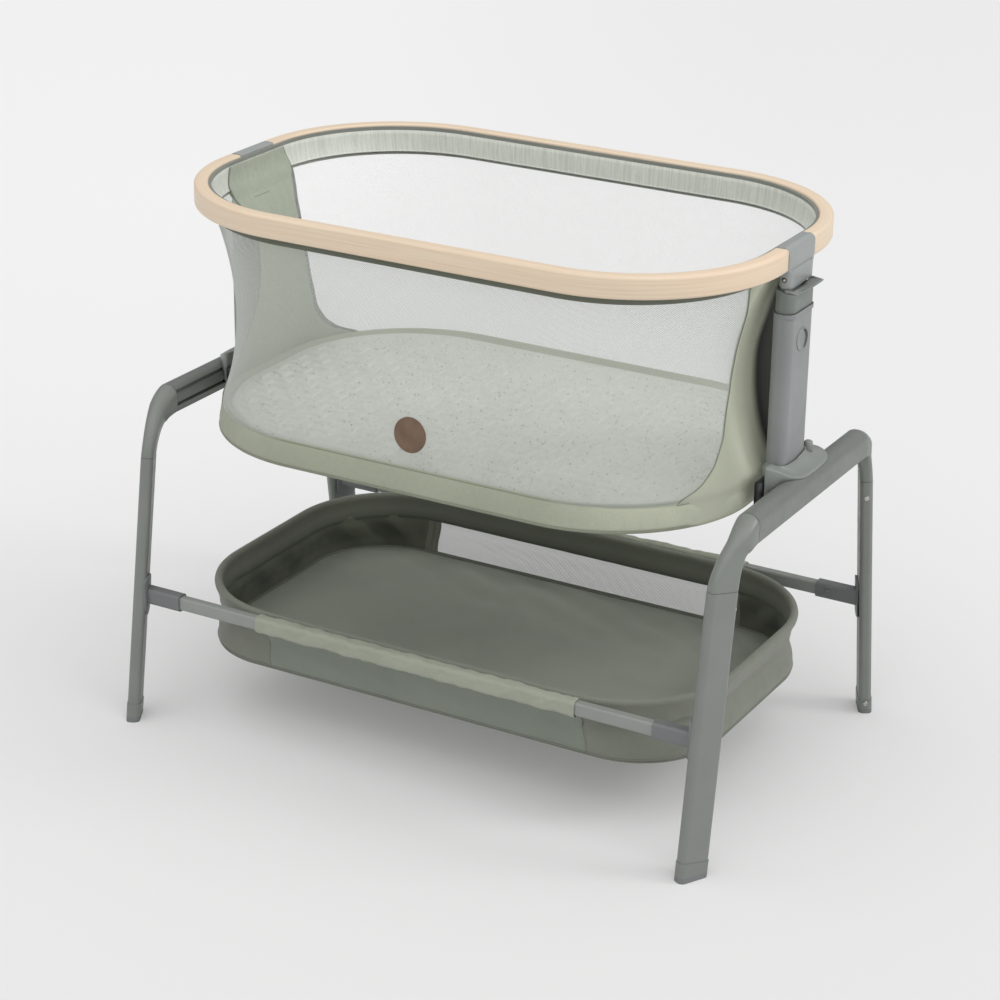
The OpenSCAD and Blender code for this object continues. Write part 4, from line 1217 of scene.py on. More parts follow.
@dataclass
class Bowl:
    """Cloth ends, mesh sides, padded band, mattress and patch of the sleeping bowl."""

    shape: BowlShape = field(default_factory=BowlShape)
    base_a: float = 409.4
    base_b: float = 273.4
    base_r: float = 213.0
    base_z: float = 442.0
    band_height: float = 37.0
    top_in_a: float = 2.0
    top_in_b: float = 6.2
    top_more_r: float = 5.6
    seam_z: float = 477.4
    join_x: float = 342.0
    bed_a: float = 397.0
    bed_b: float = 251.5
    bed_r: float = 196.0
    bed_seam: float = 466.5
    bed_roll: float = 10.5
    quilt_row: float = 24.0
    quilt_brick: float = 42.0
    patch_z: float = 526.0

    def side_grid(self, s: Array, z: Array, inset: Array | float = 0.0) -> Array:
        """Points of the side surface at arc length s and height z, set in from it."""
        x, y, nx, ny = plan_point(*self.shape.size(z), s)
        return grid(x - nx * inset, y - ny * inset, z)

    def base_size(self, z: Array) -> tuple[Array, Array, Array]:
        """Half sizes and corner radius of the padded band at height z.

        Args:
            z: Heights.

        Returns:
            Half sizes and corner radius.
        """
        climb = np.clip((z - self.base_z) / self.band_height, 0, 1)
        return (self.base_a - self.top_in_a * climb, self.base_b - self.top_in_b * climb,
                self.base_r + self.top_more_r * climb)

    def end_panel(self, name: str, sx: int) -> Sheet:
        """Cloth end: its width follows the piped edge, and it dips softly between them.

        Args:
            name: Its name.
            sx: 1 for the right end, -1 for the left.

        Returns:
            The piece and its points.
        """
        z = np.linspace(474, self.shape.top, 90)[None, :]
        t = np.linspace(-1, 1, 61)[:, None]
        s = t * self.shape.at(self.shape.panel_w(z, np.sign(t)), z)
        sag = 0.72 * ripple(s, z, 11, 150, stretch=0.6) * (1 - t ** 2)
        points = self.side_grid(s, z, 0.2 + sag) * (sx, 1, 1)
        return lattice(name, points, uv=grid(s, z) * MM, flip=sx < 0), points

    def gusset(self, name: str, sx: int) -> Sheet:
        """Outer cloth of an end, with near-black painted shadow behind its post, whose front edge is soft.

        Its lower end runs down over the padded band, as one cloth with it.

        Args:
            name: Its name.
            sx: 1 for the right end, -1 for the left.

        Returns:
            The piece and its points.
        """
        z = np.concatenate([[442.2, 443.2, 445], np.linspace(448, 768, 88)])[None, :]
        t = np.linspace(-1, 1, 81)[:, None]
        top = np.maximum(z, self.shape.bottom)
        front = self.shape.at(self.shape.panel_w(top, -1) - 0.6, top)
        wider = 11 * smooth((700 - np.abs(z - 620) * 2.2) / 500)
        back = self.shape.at(self.shape.panel_w(top, 1) + wider, top)
        s = np.where(t < 0, t * front, t * back)
        from_edge = 1 - np.abs(t)
        low = smooth((484 - z) / 14)
        grow = 2.4 * smooth(from_edge * 7) - 1.3 - 2.2 * smooth((446 - z) / 4)
        a, b, r = (q * (1 - low) + (k + grow) * low for q, k in zip(self.shape.size(top), self.base_size(z)))
        x, y, nx, ny = plan_point(a, b, r, s)
        out = (0.3 + 0.7 * smooth(from_edge * 9)) * (1 - low)
        points = grid(sx * (x + nx * out), y + ny * out, z)
        # Painted shadow behind the post, with a soft front edge that moves with height. plain tones the cloth
        # down in front and over the band; the paler cloth left just in front of the shadow is painted light.
        edge = -9 + 10 * np.exp(-((z - 480) / 30) ** 2) + 12 * smooth((z - 635) / 60)
        plain = 0.39 * np.maximum(smooth((-s - 25) / 75), low)
        dark = np.maximum(0.97 * smooth((s - edge) / 26) * (1 - low), plain)
        return lattice(name, points, uv=grid(s, z) * MM, flip=sx < 0, seam_and_shade=dark), points

    def head_half(self, z: Array, sy: Array | int) -> Array:
        """Half width of an end cloth where it runs over the lining."""
        return self.shape.panel_w(np.minimum(z, 764), sy) - 13 * smooth((z - 758) / 40)

    def head_cloth(self, name: str, sx: int) -> Sheet:
        """Upper end of the end cloth, which runs over the lining up to the core.

        Args:
            name: Its name.
            sx: 1 for the right end, -1 for the left.

        Returns:
            The piece and its points.
        """
        z = np.linspace(738, 791.5, 26)[None, :]
        t = np.linspace(-1, 1, 41)[:, None]
        low = self.shape.upright(z)
        lean = 1.2 + 3.2 * smooth((z - 740) / 22)
        s = t * self.shape.at(self.head_half(z, np.sign(t)), low)
        x, y, nx, ny = plan_point(*self.shape.size(low), s)
        points = grid(sx * (x - nx * lean), y - ny * lean, z)
        return lattice(name, points, uv=grid(s, z) * MM, flip=sx < 0), points

    def mesh_side(self, name: str, sy: int) -> Sheet:
        """Knitted mesh between the two end panels, stretched from rim to base.

        Args:
            name: Its name.
            sy: 1 for the back, -1 for the front.

        Returns:
            The piece and its points.
        """
        z = np.linspace(476, self.shape.top, 60)[None, :]
        start = self.shape.at(self.shape.panel_w(z, sy), z) + 0.6
        total = 2 * quarter_length(*self.shape.size(z))
        s = start + np.linspace(0, 1, 150)[:, None] * (total - 2 * start)
        points = self.side_grid(s, z, 0.5) * (1, sy, 1)
        return lattice(name, points, uv=grid(s, z) * MM, flip=sy < 0), points

    def rim_strip(self, name: str, rows: Sequence[tuple[float, float]], held_in: bool) -> Sheet:
        """Closed strip under the rim: rows of distance outwards and height, carried round.

        Args:
            name: Its name.
            rows: Distance outwards and height of each row.
            held_in: Whether upright gives its plan.

        Returns:
            The piece and its points.
        """
        out, z = columns(rows)
        size = self.shape.size(self.shape.upright(z) if held_in else z)
        quarter = quarter_length(*size)
        x, y, nx, ny = plan_point(*size, places(320) * quarter)
        points = grid(x + nx * out, y + ny * out, z)
        return lattice(name, points, wrap_u=True, uv=closed_uv(320, quarter[0, -1], z)), points

    def lining(self) -> Sheet:
        """Speckled band inside the rim; its lower edge stands a little off the mesh.

        Returns:
            The piece and its points.
        """
        rows = ((-3.2, 759.5), (-2.5, 760.2), (-2.3, 763), (-2.5, 768), (-2.6, 772), (-2.6, 778), (-2.5, 785),
                (-2.3, 791.5))
        return self.rim_strip("rim_lining_cloth", rows, True)

    def rim_hem(self) -> Sheet:
        """Dark hem that holds the mesh, seen as a thin line under the wood from outside."""
        rows = ((0.2, 754.8), (1.0, 755.6), (1.2, 759), (1.2, 764), (1.2, 768), (1.0, 771))
        return self.rim_strip("rim_hem_tape", rows, False)

    def band(self) -> Sheet:
        """Padded cloth round the base, folded in over the top seam and under the bottom.

        The profile of inset and height runs from the underside's middle out round the
        bottom edge, up the padded face, over the seam and in to the mattress. The cloth
        gathers a little at the corners, more towards the bottom.

        Returns:
            The piece and its points.
        """
        profile = ((258, 443.2), (200, 443.2), (120, 443.0), (60, 442.6), (24, 442.0), (12, 441.8),
                   (6, 441.8), (3.2, 441.9), (1.4, 442.4), (0.5, 443.2), (0.1, 444.2), (0.0, 445.2),
                   (0.9, 446.2), (0.2, 447.2), (-0.1, 449.5), (-0.7, 454), (-1.1, 460), (-1.0, 466),
                   (-0.3, 471), (0.4, 474.4), (1.2, 476.6), (2.6, 477.4), (2.0, 478.2), (2.2, 479.6),
                   (3.4, 480.4), (5.0, 479.7), (7, 477.4), (10, 474.6), (14, 472.0), (19, 469.4),
                   (25, 468.0))
        inset, z = columns(profile)
        a, b, r = (q - inset for q in self.base_size(z))
        r = np.maximum(r, 4.0)
        u = places(640)
        x, y, nx, ny = plan_point(a, b, r, u * quarter_length(a, b, r))
        full = float(quarter_length(self.base_a, self.base_b, self.base_r))
        around = u * full
        corner = np.abs(nx * ny) * 2
        face = smooth((z - 443) / 8) * (1 - smooth((z - 470) / 10))
        low = 1 - smooth((z - 446) / 22)
        gather = ripple(around, 0 * z, 5, 15, 7) * (0.2 + 0.65 * corner) * low
        soft = ripple(around, z, 8, 90, 7) * 0.6 * (0.5 + corner)
        swell = face * (gather + soft)
        points = grid(x + nx * swell, y + ny * swell, z)
        uv = closed_uv(640, full, distances(np.array(profile))[None, :])
        # Dark seams along the top fold and the upright join; the dark lower lip is painted shade under the
        # bottom edge.
        dark = 0.6 * smooth((447.8 - z) / 1.6) + 0.66 * np.exp(-((z - self.seam_z) / 0.9) ** 2)
        join_s = 3 * full - (self.base_a - self.join_x)
        dark = np.where(inset < 6, dark, 0) + 0.55 * np.exp(-((around - join_s) / 0.9) ** 2) * face
        # Painted shade: the band is toned darker everywhere but towards the right end.
        dark = np.clip(np.maximum(dark, 0.27 * (1 - smooth((x - 180) / 190))), 0, 1)
        return lattice("base_cover_cloth", points, wrap_u=True, uv=uv, seam_and_shade=dark), points

    def quilt(self, x: Array, y: Array) -> Array:
        """Depth of the stitched channels: wavy rows of bricks, each row half a brick on.

        Args:
            x: Places along X.
            y: Places along Y.

        Returns:
            Depths from 0 to 1.
        """
        k = np.floor(y / self.quilt_row)
        near = np.full(x.shape, np.inf)
        for row in (k, k + 1):
            line = row * self.quilt_row + 3.4 * np.sin(FULL_TURN * x / self.quilt_brick + math.pi * row)
            near = np.minimum(near, np.abs(y - line))
        over = x / self.quilt_brick - 0.5 * np.mod(k, 2) + 0.25
        cross = np.abs(over - np.round(over)) * self.quilt_brick
        return np.exp(-(np.minimum(near, cross) / 2.4) ** 2)

    def mattress(self) -> bpy.types.Object:
        """Quilted pad: a grid over the plan, domed between channels and rolled at its edge.

        Top and bottom meet in one closed seam; the bottom has every eighth column.

        Returns:
            The piece.
        """
        x, y, d = plan_grid(self.bed_a, self.bed_b, self.bed_r, 380, 220)
        roll = self.bed_roll * np.sqrt(np.clip(1 - (1 - np.clip(d / 11, 0, 1)) ** 2, 0, 1))
        crown = 1 - (1 - np.clip(d / 170, 0, 1)) ** 2
        fade = smooth((d - 12) / 16)
        channel = self.quilt(x, y)
        tuft = fade * (1 - channel) * 4.4 + (0.7 * ripple(x, y, 21, 60) + 0.35 * ripple(x, y, 23, 16)) * fade
        welt = 0.7 * np.exp(-((d - 13) / 3.0) ** 2)
        top = self.bed_seam + roll + 3.6 * crown + tuft - welt - 3.0 * fade
        low = self.bed_seam - roll
        edge = d < 1e-6
        top[edge] = low[edge] = self.bed_seam
        lower = grid(x, y, low)[:, -2:0:-1][:, ::8]
        # Painted highlight: the dark tone is held off the quilt channels, so they read as lit ridges.
        tone = np.concatenate([0.16 - 0.16 * channel ** 2 * fade, 0.16 + 0 * lower[..., 0]], 1)
        points = np.concatenate([grid(x, y, top), lower], 1)
        piece = lattice("mattress_quilted", points, wrap_v=True, seam_and_shade=tone)
        modifier(piece, "WELD", merge_threshold=WELD_GAP)
        return piece

    def leather(self) -> bpy.types.Object:
        """Bare round patch: rings of radius and distance from the front, with a pressed border.

        Returns:
            The piece.
        """
        rings = ((0.4, 1.4), (6, 1.5), (14, 1.55), (20, 1.5), (21.2, 1.4), (21.8, 1.05), (22.4, 1.35),
                 (23.6, 1.3), (24.6, 1.0), (25.0, 0.4), (25.0, -0.2))
        rad, out = columns(rings)
        angle = places(72, FULL_TURN)
        x, z = rad * np.cos(angle), self.patch_z + rad * np.sin(angle)
        points = grid(x, -(self.shape.size(z)[1] + out), z)
        return lattice("leather_patch", points, wrap_u=True, caps=True)

    def edge_path(self, sx: int, sy: int) -> Array:
        """Line between a mesh side and an end panel, from base to rim."""
        z = np.linspace(478, 771, 80)
        return self.side_grid(self.shape.at(self.shape.panel_w(z, sy), z), z, -0.1) * (sx, sy, 1)

    def head_path(self, sx: int, sy: int) -> Array:
        """Curved seam beside an end cloth's upper end, on the lining.

        Args:
            sx: 1 for the right end, -1 for the left.
            sy: 1 for the back, -1 for the front.

        Returns:
            Points of the line.
        """
        z = np.linspace(759, 791, 16)
        low = self.shape.upright(z)
        x, y, nx, ny = plan_point(*self.shape.size(low), self.shape.at(self.head_half(z, sy), low))
        return grid(sx * (x - nx * 5.0), sy * (y - ny * 5.0), z)

    def build(self, w: Wardrobe) -> None:
        """Makes each piece of the bowl and dresses it.

        Args:
            w: Dresses the pieces.
        """
        p = w.palette
        tight = ("bowl", Held.STRETCHED)
        for side, sx in SIDES:
            panel = self.end_panel(f"end_cloth_{side}", sx)
            w.cloth(panel, p.panel, *tight, "rim_core", f"end_panel_{side}", thick=2.4)
            w.cloth(self.gusset(f"end_gusset_{side}", sx), p.gusset, *tight, f"end_cloth_{side}", thick=0.6)
            w.cloth(self.head_cloth(f"end_head_{side}", sx), p.panel, *tight, "rim_core", thick=1.2)
            for face, sy in FACES:
                w.dress(pipe(f"panel_piping_{face}_{side}", self.edge_path(sx, sy), 0.75), p.seam, "bowl")
                w.dress(pipe(f"head_piping_{face}_{side}", self.head_path(sx, sy), 1.0), p.seam, "bowl")
        for (face, sy), net in zip(FACES, (p.net, p.net_back)):
            w.cloth(self.mesh_side(f"mesh_{face}", sy), net, *tight, "rim_core", f"mesh_side_{face}")
        w.cloth(self.lining(), p.lining, *tight, "rim_core", "rim_lining", thick=1.4)
        w.cloth(self.rim_hem(), p.tape, *tight, "rim_core", thick=0.8)
        w.cloth(self.band(), p.sage, *tight, "base_frame", "base_cover", thick=1.0)
        mattress = self.mattress()
        w.dress(mattress, p.quilt, "bowl", "mattress")
        w.dress(self.leather(), p.leather, "bowl")


# Basket
@dataclass
class Basket:
    """Cloth basket: walls in panels, a hem over the hoop, floor and bar sleeves.

    The tables in_a, in_b and less_r give how far the half sizes and the corner radius
    draw in, at shares of the way down from the hoop to the floor.
    """

    a: float = 408.5
    b: float = 250.7
    corner: float = 162.0
    hem_z: float = 188.7
    hoop_z: float = 195.0
    low: float = 104.0
    bar_y: float = 267.0
    bar_z: float = 190.0
    sleeve_half: float = 258.0
    sleeve_shift: float = 8.0
    front_reach: tuple[float, float] = (250.0, 267.0)
    back_reach: tuple[float, float] = (262.0, 266.0)
    share: tuple[float, ...] = (-0.2, 0, 0.14, 0.43, 0.58, 0.75, 0.93, 1, 1.05)
    in_a: tuple[float, ...] = (0, 0, 4, 10.5, 7, 3.2, 4.5, 8.5, 12.5)
    in_b: tuple[float, ...] = (0, 0, 2, 7, 9, 11, 13, 18, 22)
    less_r: tuple[float, ...] = (0, 0, 5, 17, 23, 30, 37, 43, 47)

    def size(self, z: Array) -> tuple[Array, ...]:
        """Half sizes and corner radius at height z, smoothed between the rows.

        Args:
            z: Heights.

        Returns:
            Half sizes and corner radius.
        """
        t = (self.hem_z - z) / (self.hem_z - self.low)
        tables = ((self.a, self.in_a), (self.b, self.in_b), (self.corner, self.less_r))
        return tuple(full - eased(t, self.share, rows, (-0.2, 1.05), 500, 61) for full, rows in tables)

    def quarter(self) -> float:
        """Length of a quarter of the basket's plan at the hem."""
        return float(quarter_length(self.a, self.b, self.corner))

    def wall(self, name: str, u0: float, u1: float, z0: float, z1: float, nu: int, nz: int,
             hang: float = 0.0, folds: float = 1.0, inset: float = 0.0) -> Sheet:
        """Piece of the wall between two places round the plan and two heights.

        The cloth hangs in slanting folds, which fade towards the hem and the floor.

        Args:
            name: Its name.
            u0: Start, in quarters of the plan from the right end.
            u1: End, in quarters.
            z0: Lower height.
            z1: Upper height.
            nu: Points round the plan.
            nz: Points in height.
            hang: How far the upper edge leans out to the bar's sleeve.
            folds: Depth of the folds.
            inset: How far the sheet lies inside the wall; the sheet then carries painted shade, darkest in
                its dips.

        Returns:
            The piece and its points.
        """
        z = np.linspace(z0, z1, nz)[None, :]
        u = np.linspace(u0, u1, nu)[:, None]
        size = self.size(z)
        x, y, nx, ny = plan_point(*size, u * quarter_length(*size))
        around = u * self.quarter()
        rise = (z - self.low) / (self.hoop_z - self.low)
        fade = smooth(rise / 0.35) * smooth((168 - z) / 30)
        bend = np.abs(nx * ny) * 2
        slant = around + 1.1 * (z - self.low) * np.sign(np.sin(around * 0.004) + 0.2)
        fold = ripple(slant, 0.25 * z, 31, 85, 9) * (0.8 + 1.8 * bend) + ripple(around, z, 37, 40, 7) * 0.35
        out = fold * fade * folds + hang * smooth((rise - 0.45) / 0.5) - inset
        points = grid(x + nx * out, y + ny * out, z)
        # Painted shade on an inner sheet, darkest in its dips.
        dip = smooth(0.45 + 0.4 * fold) * (0.4 + 0.6 * fade) * 0.5 if inset else None
        return lattice(name, points, uv=grid(around, z) * MM, seam_and_shade=dip), points

    def hem(self) -> Sheet:
        """Hem folded over the hoop: a profile of offset and height carried round the plan.

        Returns:
            The piece and its points.
        """
        profile = ((1.4, 161.5), (2.1, 162.3), (2.0, 168), (2.2, 178), (3.4, 187), (5.4, 192), (6.1, 195.5),
                   (5.2, 199), (2.8, 201.3), (0, 202), (-2.8, 201.3), (-5.2, 199), (-6.1, 195.5), (-5.4, 192),
                   (-3.8, 187), (-3.0, 178), (-2.8, 168), (-2.9, 162.3), (-2.0, 161.5))
        out, z = columns(profile)
        size = self.size(z)
        u = places(480)
        x, y, nx, ny = plan_point(*size, u * quarter_length(*size))
        around = u * self.quarter()
        low = smooth((197 - z) / 26)
        small, large = ripple(around + 0.8 * z, 0.3 * z, 41, 26, 9), ripple(around, z, 43, 80, 5)
        crumple = (small * 0.8 + large * 0.9) * low
        crumple = crumple * (0.4 + np.abs(nx * ny)) * np.where(out < 0, 0.6, 1.3)
        points = grid(x + nx * (out + crumple), y + ny * (out + crumple), z)
        uv = closed_uv(480, self.quarter(), distances(np.array(profile))[None, :])
        seam = np.where(out < 0, 0.75 * smooth((172 - z) / 8), 0.25 * smooth((164 - z) / 2))
        return lattice("basket_hem_cloth", points, wrap_u=True, uv=uv, seam_and_shade=seam), points

    def floor(self) -> Sheet:
        """Floor cloth over its board: flat in the middle, wrinkled towards the back.

        Returns:
            The piece and its points.
        """
        inset = 2.6
        x, y, d = plan_grid(*(float(q) - inset for q in self.size(np.array(112.0))), 240, 150)
        back = smooth((np.linspace(-1, 1, 150)[None, :] - 0.1) / 0.7)
        small, large = ripple(x + 0.5 * y, 2.2 * y, 51, 120, 9), ripple(x, y, 53, 240, 5)
        wrinkle = small * (0.4 + 2.2 * back) + large * 1.2
        points = grid(x, y, 110.2 + 1.4 * smooth(d / 12) + wrinkle * smooth(d / 30))
        return lattice("basket_floor", points, uv=points[..., :2] * MM), points

    def bar_sleeve(self, name: str, sy: int) -> Sheet:
        """Cloth tube round a crossbar: a rounded section with wrinkles along it.

        Args:
            name: Its name.
            sy: 1 for the back, -1 for the front.

        Returns:
            The piece and its points.
        """
        half = self.sleeve_half
        edge = np.array([0, 0.6, 1.8, 4, 7, 9, 11])
        middle = np.linspace(-half + 14, half - 14, 260)
        x = np.concatenate([-half + edge, middle, half - edge[::-1]])[None, :]
        ring = even_ring(section(18.6, 24.2, (6, 6, 6, 6), 7), 60)[:, None]
        angle = np.arctan2(ring[..., 1], ring[..., 0])
        c, s = np.cos(angle), np.sin(angle)
        end = half - np.abs(x)
        hem = 0.7 * np.exp(-((end - 5) / 4.0) ** 2) - 0.5 * np.exp(-((end - 10) / 1.2) ** 2)
        u, v = 13 * c, 13 * s
        swirl = ripple(x + 1.6 * u, v, 61 + sy, 52, 9) + 0.5 * ripple(x - 1.4 * v, u, 64 + sy, 24, 9)
        fine = ripple(x + 0.5 * v, u - v, 67 + sy, 12, 9)
        grow = (swirl * 0.8 + fine * 0.16) * smooth((end - 8) / 20) + hem + 0.2
        y = sy * self.bar_y + ring[..., 0] + grow * c
        z = self.bar_z - 0.5 + ring[..., 1] + grow * s
        points = grid(x + self.sleeve_shift, y, z)
        uv = grid(x * MM, np.linspace(0, 0.076, 61)[:, None])
        return lattice(name, points, wrap_u=True, uv=uv), points

    def threads(self) -> bpy.types.Object:
        """Three loose thread ends at the front sleeve's left hem.

        Returns:
            The piece.
        """
        rng = np.random.default_rng(3)
        t = np.linspace(0, 1, 14)
        made = []
        for k in range(3):
            bend = rng.uniform(-1, 1, 3)
            path = grid(-236 + 7 * k - 6 * t + 6 * bend[0] * t * t,
                        -self.bar_y + 9.5 + 2 * t + 5 * bend[1] * t * t,
                        self.bar_z + 11 + 9 * t - 7 * t * t + 3 * bend[2] * t ** 3)
            made.append(pipe(f"thread_{k}", path, 0.22, sides=5, up=(0, 1, 0)))
        return join("loose_threads", made)

    def piping(self, name: str, z: float, inset: float, radius: float) -> bpy.types.Object:
        """Closed piping round the basket at height z, set in from the wall.

        Args:
            name: Its place, which ends its name.
            z: Its height.
            inset: How far it is set in.
            radius: Its radius.

        Returns:
            The piece.
        """
        size = tuple(q - inset for q in self.size(np.array(z)))
        x, y, _, _ = plan_point(*size, np.linspace(0, 4, 401)[:-1] * quarter_length(*size))
        return pipe(f"basket_piping_{name}", grid(x, y, z), radius, closed=True)

    def walls(self, w: Wardrobe) -> None:
        """Walls in panels: two solid ends, each with a darker inner sheet of painted shade, the front and the
        mesh window.

        Args:
            w: Dresses the pieces.
        """
        p = w.palette
        quarter = self.quarter()
        ends = self.b - self.corner + self.corner * math.pi / 2 + self.a - self.corner
        f0, f1 = 2 + (ends - self.front_reach[0]) / quarter, 3 + self.front_reach[1] / quarter
        b0, b1 = 1 - self.back_reach[0] / quarter, 1 + self.back_reach[1] / quarter
        hung = ("stand", Held.HUNG)
        for side, u0, u1 in (("right", f1 - 4, b0), ("left", b1, f0)):
            outer = self.wall(f"basket_wall_{side}", u0, u1, 106, 190, 150, 40)
            w.cloth(outer, p.basket, *hung, "basket_hem_cloth", "basket_shell", thick=1.6)
            # Painted shade: a darker sheet just inside each end wall.
            inner = self.wall(f"basket_inner_{side}", u0 + 0.02, u1 - 0.02, 111, 166, 220, 40, inset=2.2)
            w.cloth(inner, p.basket_in, *hung, "basket_hem_cloth")
        front = self.wall("basket_wall_front", f0, f1, 106, 181, 140, 30, hang=9, folds=0.8)
        w.cloth(front, p.basket_net, *hung, "bar_sleeve_front", thick=1.4)
        window = self.wall("basket_window", b0, b1, 106, 181, 140, 30, hang=9, folds=0.5)
        w.cloth(window, p.window, *hung, "bar_sleeve_back")
        borders = (("sill", b0, b1, 104, 113, 90), ("right_post", b0 - 0.01, b0 + 0.016, 106, 186, 5),
                   ("left_post", b1 - 0.016, b1 + 0.01, 106, 186, 5))
        for name, u0, u1, z0, z1, nu in borders:
            border = self.wall(f"window_{name}", u0, u1, z0, z1, nu, 12, folds=0.3)
            w.cloth(border, p.basket, *hung, "basket_hem_cloth", thick=2.4, offset=0.0)

    def build(self, w: Wardrobe) -> None:
        """Makes each piece of the basket and dresses it.

        Args:
            w: Dresses the pieces.
        """
        p = w.palette
        self.walls(w)
        w.cloth(self.hem(), p.basket, "stand", Held.HUNG, "stand", "basket_hem", thick=0.9)
        w.cloth(self.floor(), p.floor, "stand", Held.LAID, "basket_wall_front", "basket_trim", thick=5.0)
        for face, sy in FACES:
            sleeve = self.bar_sleeve(f"bar_sleeve_{face}", sy)
            w.cloth(sleeve, p.sleeve, "stand", Held.STRETCHED, f"crossbar_{face}", thick=1.0)
        w.dress(self.threads(), p.sleeve, "stand")
        for row in (("floor", 111.0, 4.2, 2.0), ("bottom", 106.0, -0.4, 1.5), ("hem_line", 110.5, -0.3, 0.7)):
            w.dress(self.piping(*row), p.basket, "stand")


# Stand and posts
@dataclass
class Elbows:
    """Moulded elbows that turn the beam's domed section into the turned leg section.

    The sections beam and leg are width, height, upper and lower corner radius.
    """

    start: tuple[float, float] = (178.0, 463.5)
    seam: float = 394.0
    foot_y: float = 295.0
    lean: float = math.atan(28 / 190)
    handles: tuple[float, float] = (36.0, 68.0)
    beam: tuple[float, float, float, float] = (33.5, 40.5, 15.0, 5.0)
    leg: tuple[float, float, float, float] = (18.5, 44.5, 7.0, 7.0)
    beam_x: float = 462.5
    leg_x: float = 457.0
    turn: float = 29.0
    slim: float = 11.02
    full: float = 1.34
    shift: float = 1.03
    slot_rows: tuple[tuple[int, int, float], ...] = ((21, 23, 0.45), (26, 27, 0.14), (30, 32, 0.45))
    slot_lift: float = 0.45

    def skin(self, u: Array) -> Array:
        """Rings of the elbow's skin for the right front corner.

        The centre line is a cubic curve from the beam's end to the leg's seam. At share u
        with f = 3u^2 - 2u^3, the section's width goes by f to the 0.72, its height by f to
        the 1.34, its turn by f to the 0.85, and it is slimmer and fuller half way.

        Args:
            u: Shares along the centre line, from 0 to 1.

        Returns:
            Array of shape (points round, len(u), 3).
        """
        end = np.array([self.foot_y - self.seam * math.tan(self.lean), self.seam])
        into = np.array([math.sin(self.lean), -math.cos(self.lean)])
        first = np.array(self.start)
        knots = [first, first + (self.handles[0], 0), end - into * self.handles[1], end]
        c = u[:, None]
        centre = ((1 - c) ** 3 * knots[0] + 3 * (1 - c) ** 2 * c * knots[1]
                  + 3 * (1 - c) * c ** 2 * knots[2] + c ** 3 * knots[3])
        along = (3 * (1 - c) ** 2 * (knots[1] - knots[0]) + 6 * (1 - c) * c * (knots[2] - knots[1])
                 + 3 * c ** 2 * (knots[3] - knots[2]))
        along /= np.linalg.norm(along, axis=1, keepdims=True)
        f = smooth(u)
        mid = (4 * u * (1 - u)) ** 1.4
        groove = 0.8 * np.exp(-(np.minimum(u, 1 - u) / 0.008) ** 2)
        w = self.beam[0] + (self.leg[0] - self.beam[0]) * f ** 0.72 + self.full * mid - groove
        h = self.beam[1] + (self.leg[1] - self.beam[1]) * f ** 1.34 - self.slim * mid - groove
        r = np.minimum(self.beam[2] + (self.leg[2] - self.beam[2]) * f + self.full * mid, w / 2 - 0.5)
        low = self.beam[3] + (self.leg[3] - self.beam[3]) * f
        sizes = zip(w, h, r, low)
        rings = np.stack([section(*size, (up, up, down, down), 9) for *size, up, down in sizes], 1)
        a = np.radians(self.turn) * f ** 0.85
        px = rings[..., 0] * np.cos(a) - rings[..., 1] * np.sin(a)
        pz = rings[..., 0] * np.sin(a) + rings[..., 1] * np.cos(a) - self.slim * self.shift * mid
        x = self.beam_x + (self.leg_x - self.beam_x) * f + self.full * mid + px
        return grid(x, pz * along[:, 1] - centre[:, 0], centre[:, 1] + pz * along[:, 0])

    def slots(self, name: str, sx: int, sy: int) -> bpy.types.Object:
        """Painted shade of three short slots across the elbow's inner side: dark sheets a little proud of its
        skin.

        Args:
            name: Its name.
            sx: 1 for the right end, -1 for the left.
            sy: 1 for the back, -1 for the front.

        Returns:
            The piece.
        """
        skin = self.skin(np.linspace(0.36, 0.62, 16))
        made = []
        for k, (first, last, half) in enumerate(self.slot_rows):
            reach = half * np.sin(np.linspace(0.15, math.pi - 0.15, 16))[:, None]
            points = np.stack([skin[first] * (1 - t) + skin[last] * t for t in (0.5 - reach, 0.5 + reach)])
            normal = np.cross(np.gradient(points[0], axis=0), points[1] - points[0])
            normal /= np.linalg.norm(normal, axis=1, keepdims=True)
            points = (points + self.slot_lift * normal * np.sign(normal[8, 1])) * (sx, -sy, 1)
            made.append(lattice(f"{name}_{k}", points, flip=sx * sy < 0))
        return join(name, made)

    def build(self, w: Wardrobe) -> None:
        """One skin for each corner, mirrored from the right front one.

        Args:
            w: Dresses the pieces.
        """
        edge = np.array([0, 0.006, 0.012, 0.02])
        skin = self.skin(np.concatenate([edge, np.linspace(0.04, 0.96, 44), 1 - edge[::-1]]))
        for corner, sx, sy in CORNERS:
            piece = lattice(f"elbow_skin_{corner}", skin * (sx, -sy, 1), wrap_u=True, caps=True,
                            flip=sx * sy < 0)
            w.dress(piece, w.palette.elbow, "stand", f"elbow_{corner}")
            # Painted shade: black sheets in the elbow's three slots.
            w.dress(self.slots(f"elbow_slots_{corner}", sx, sy), w.palette.black, "stand")


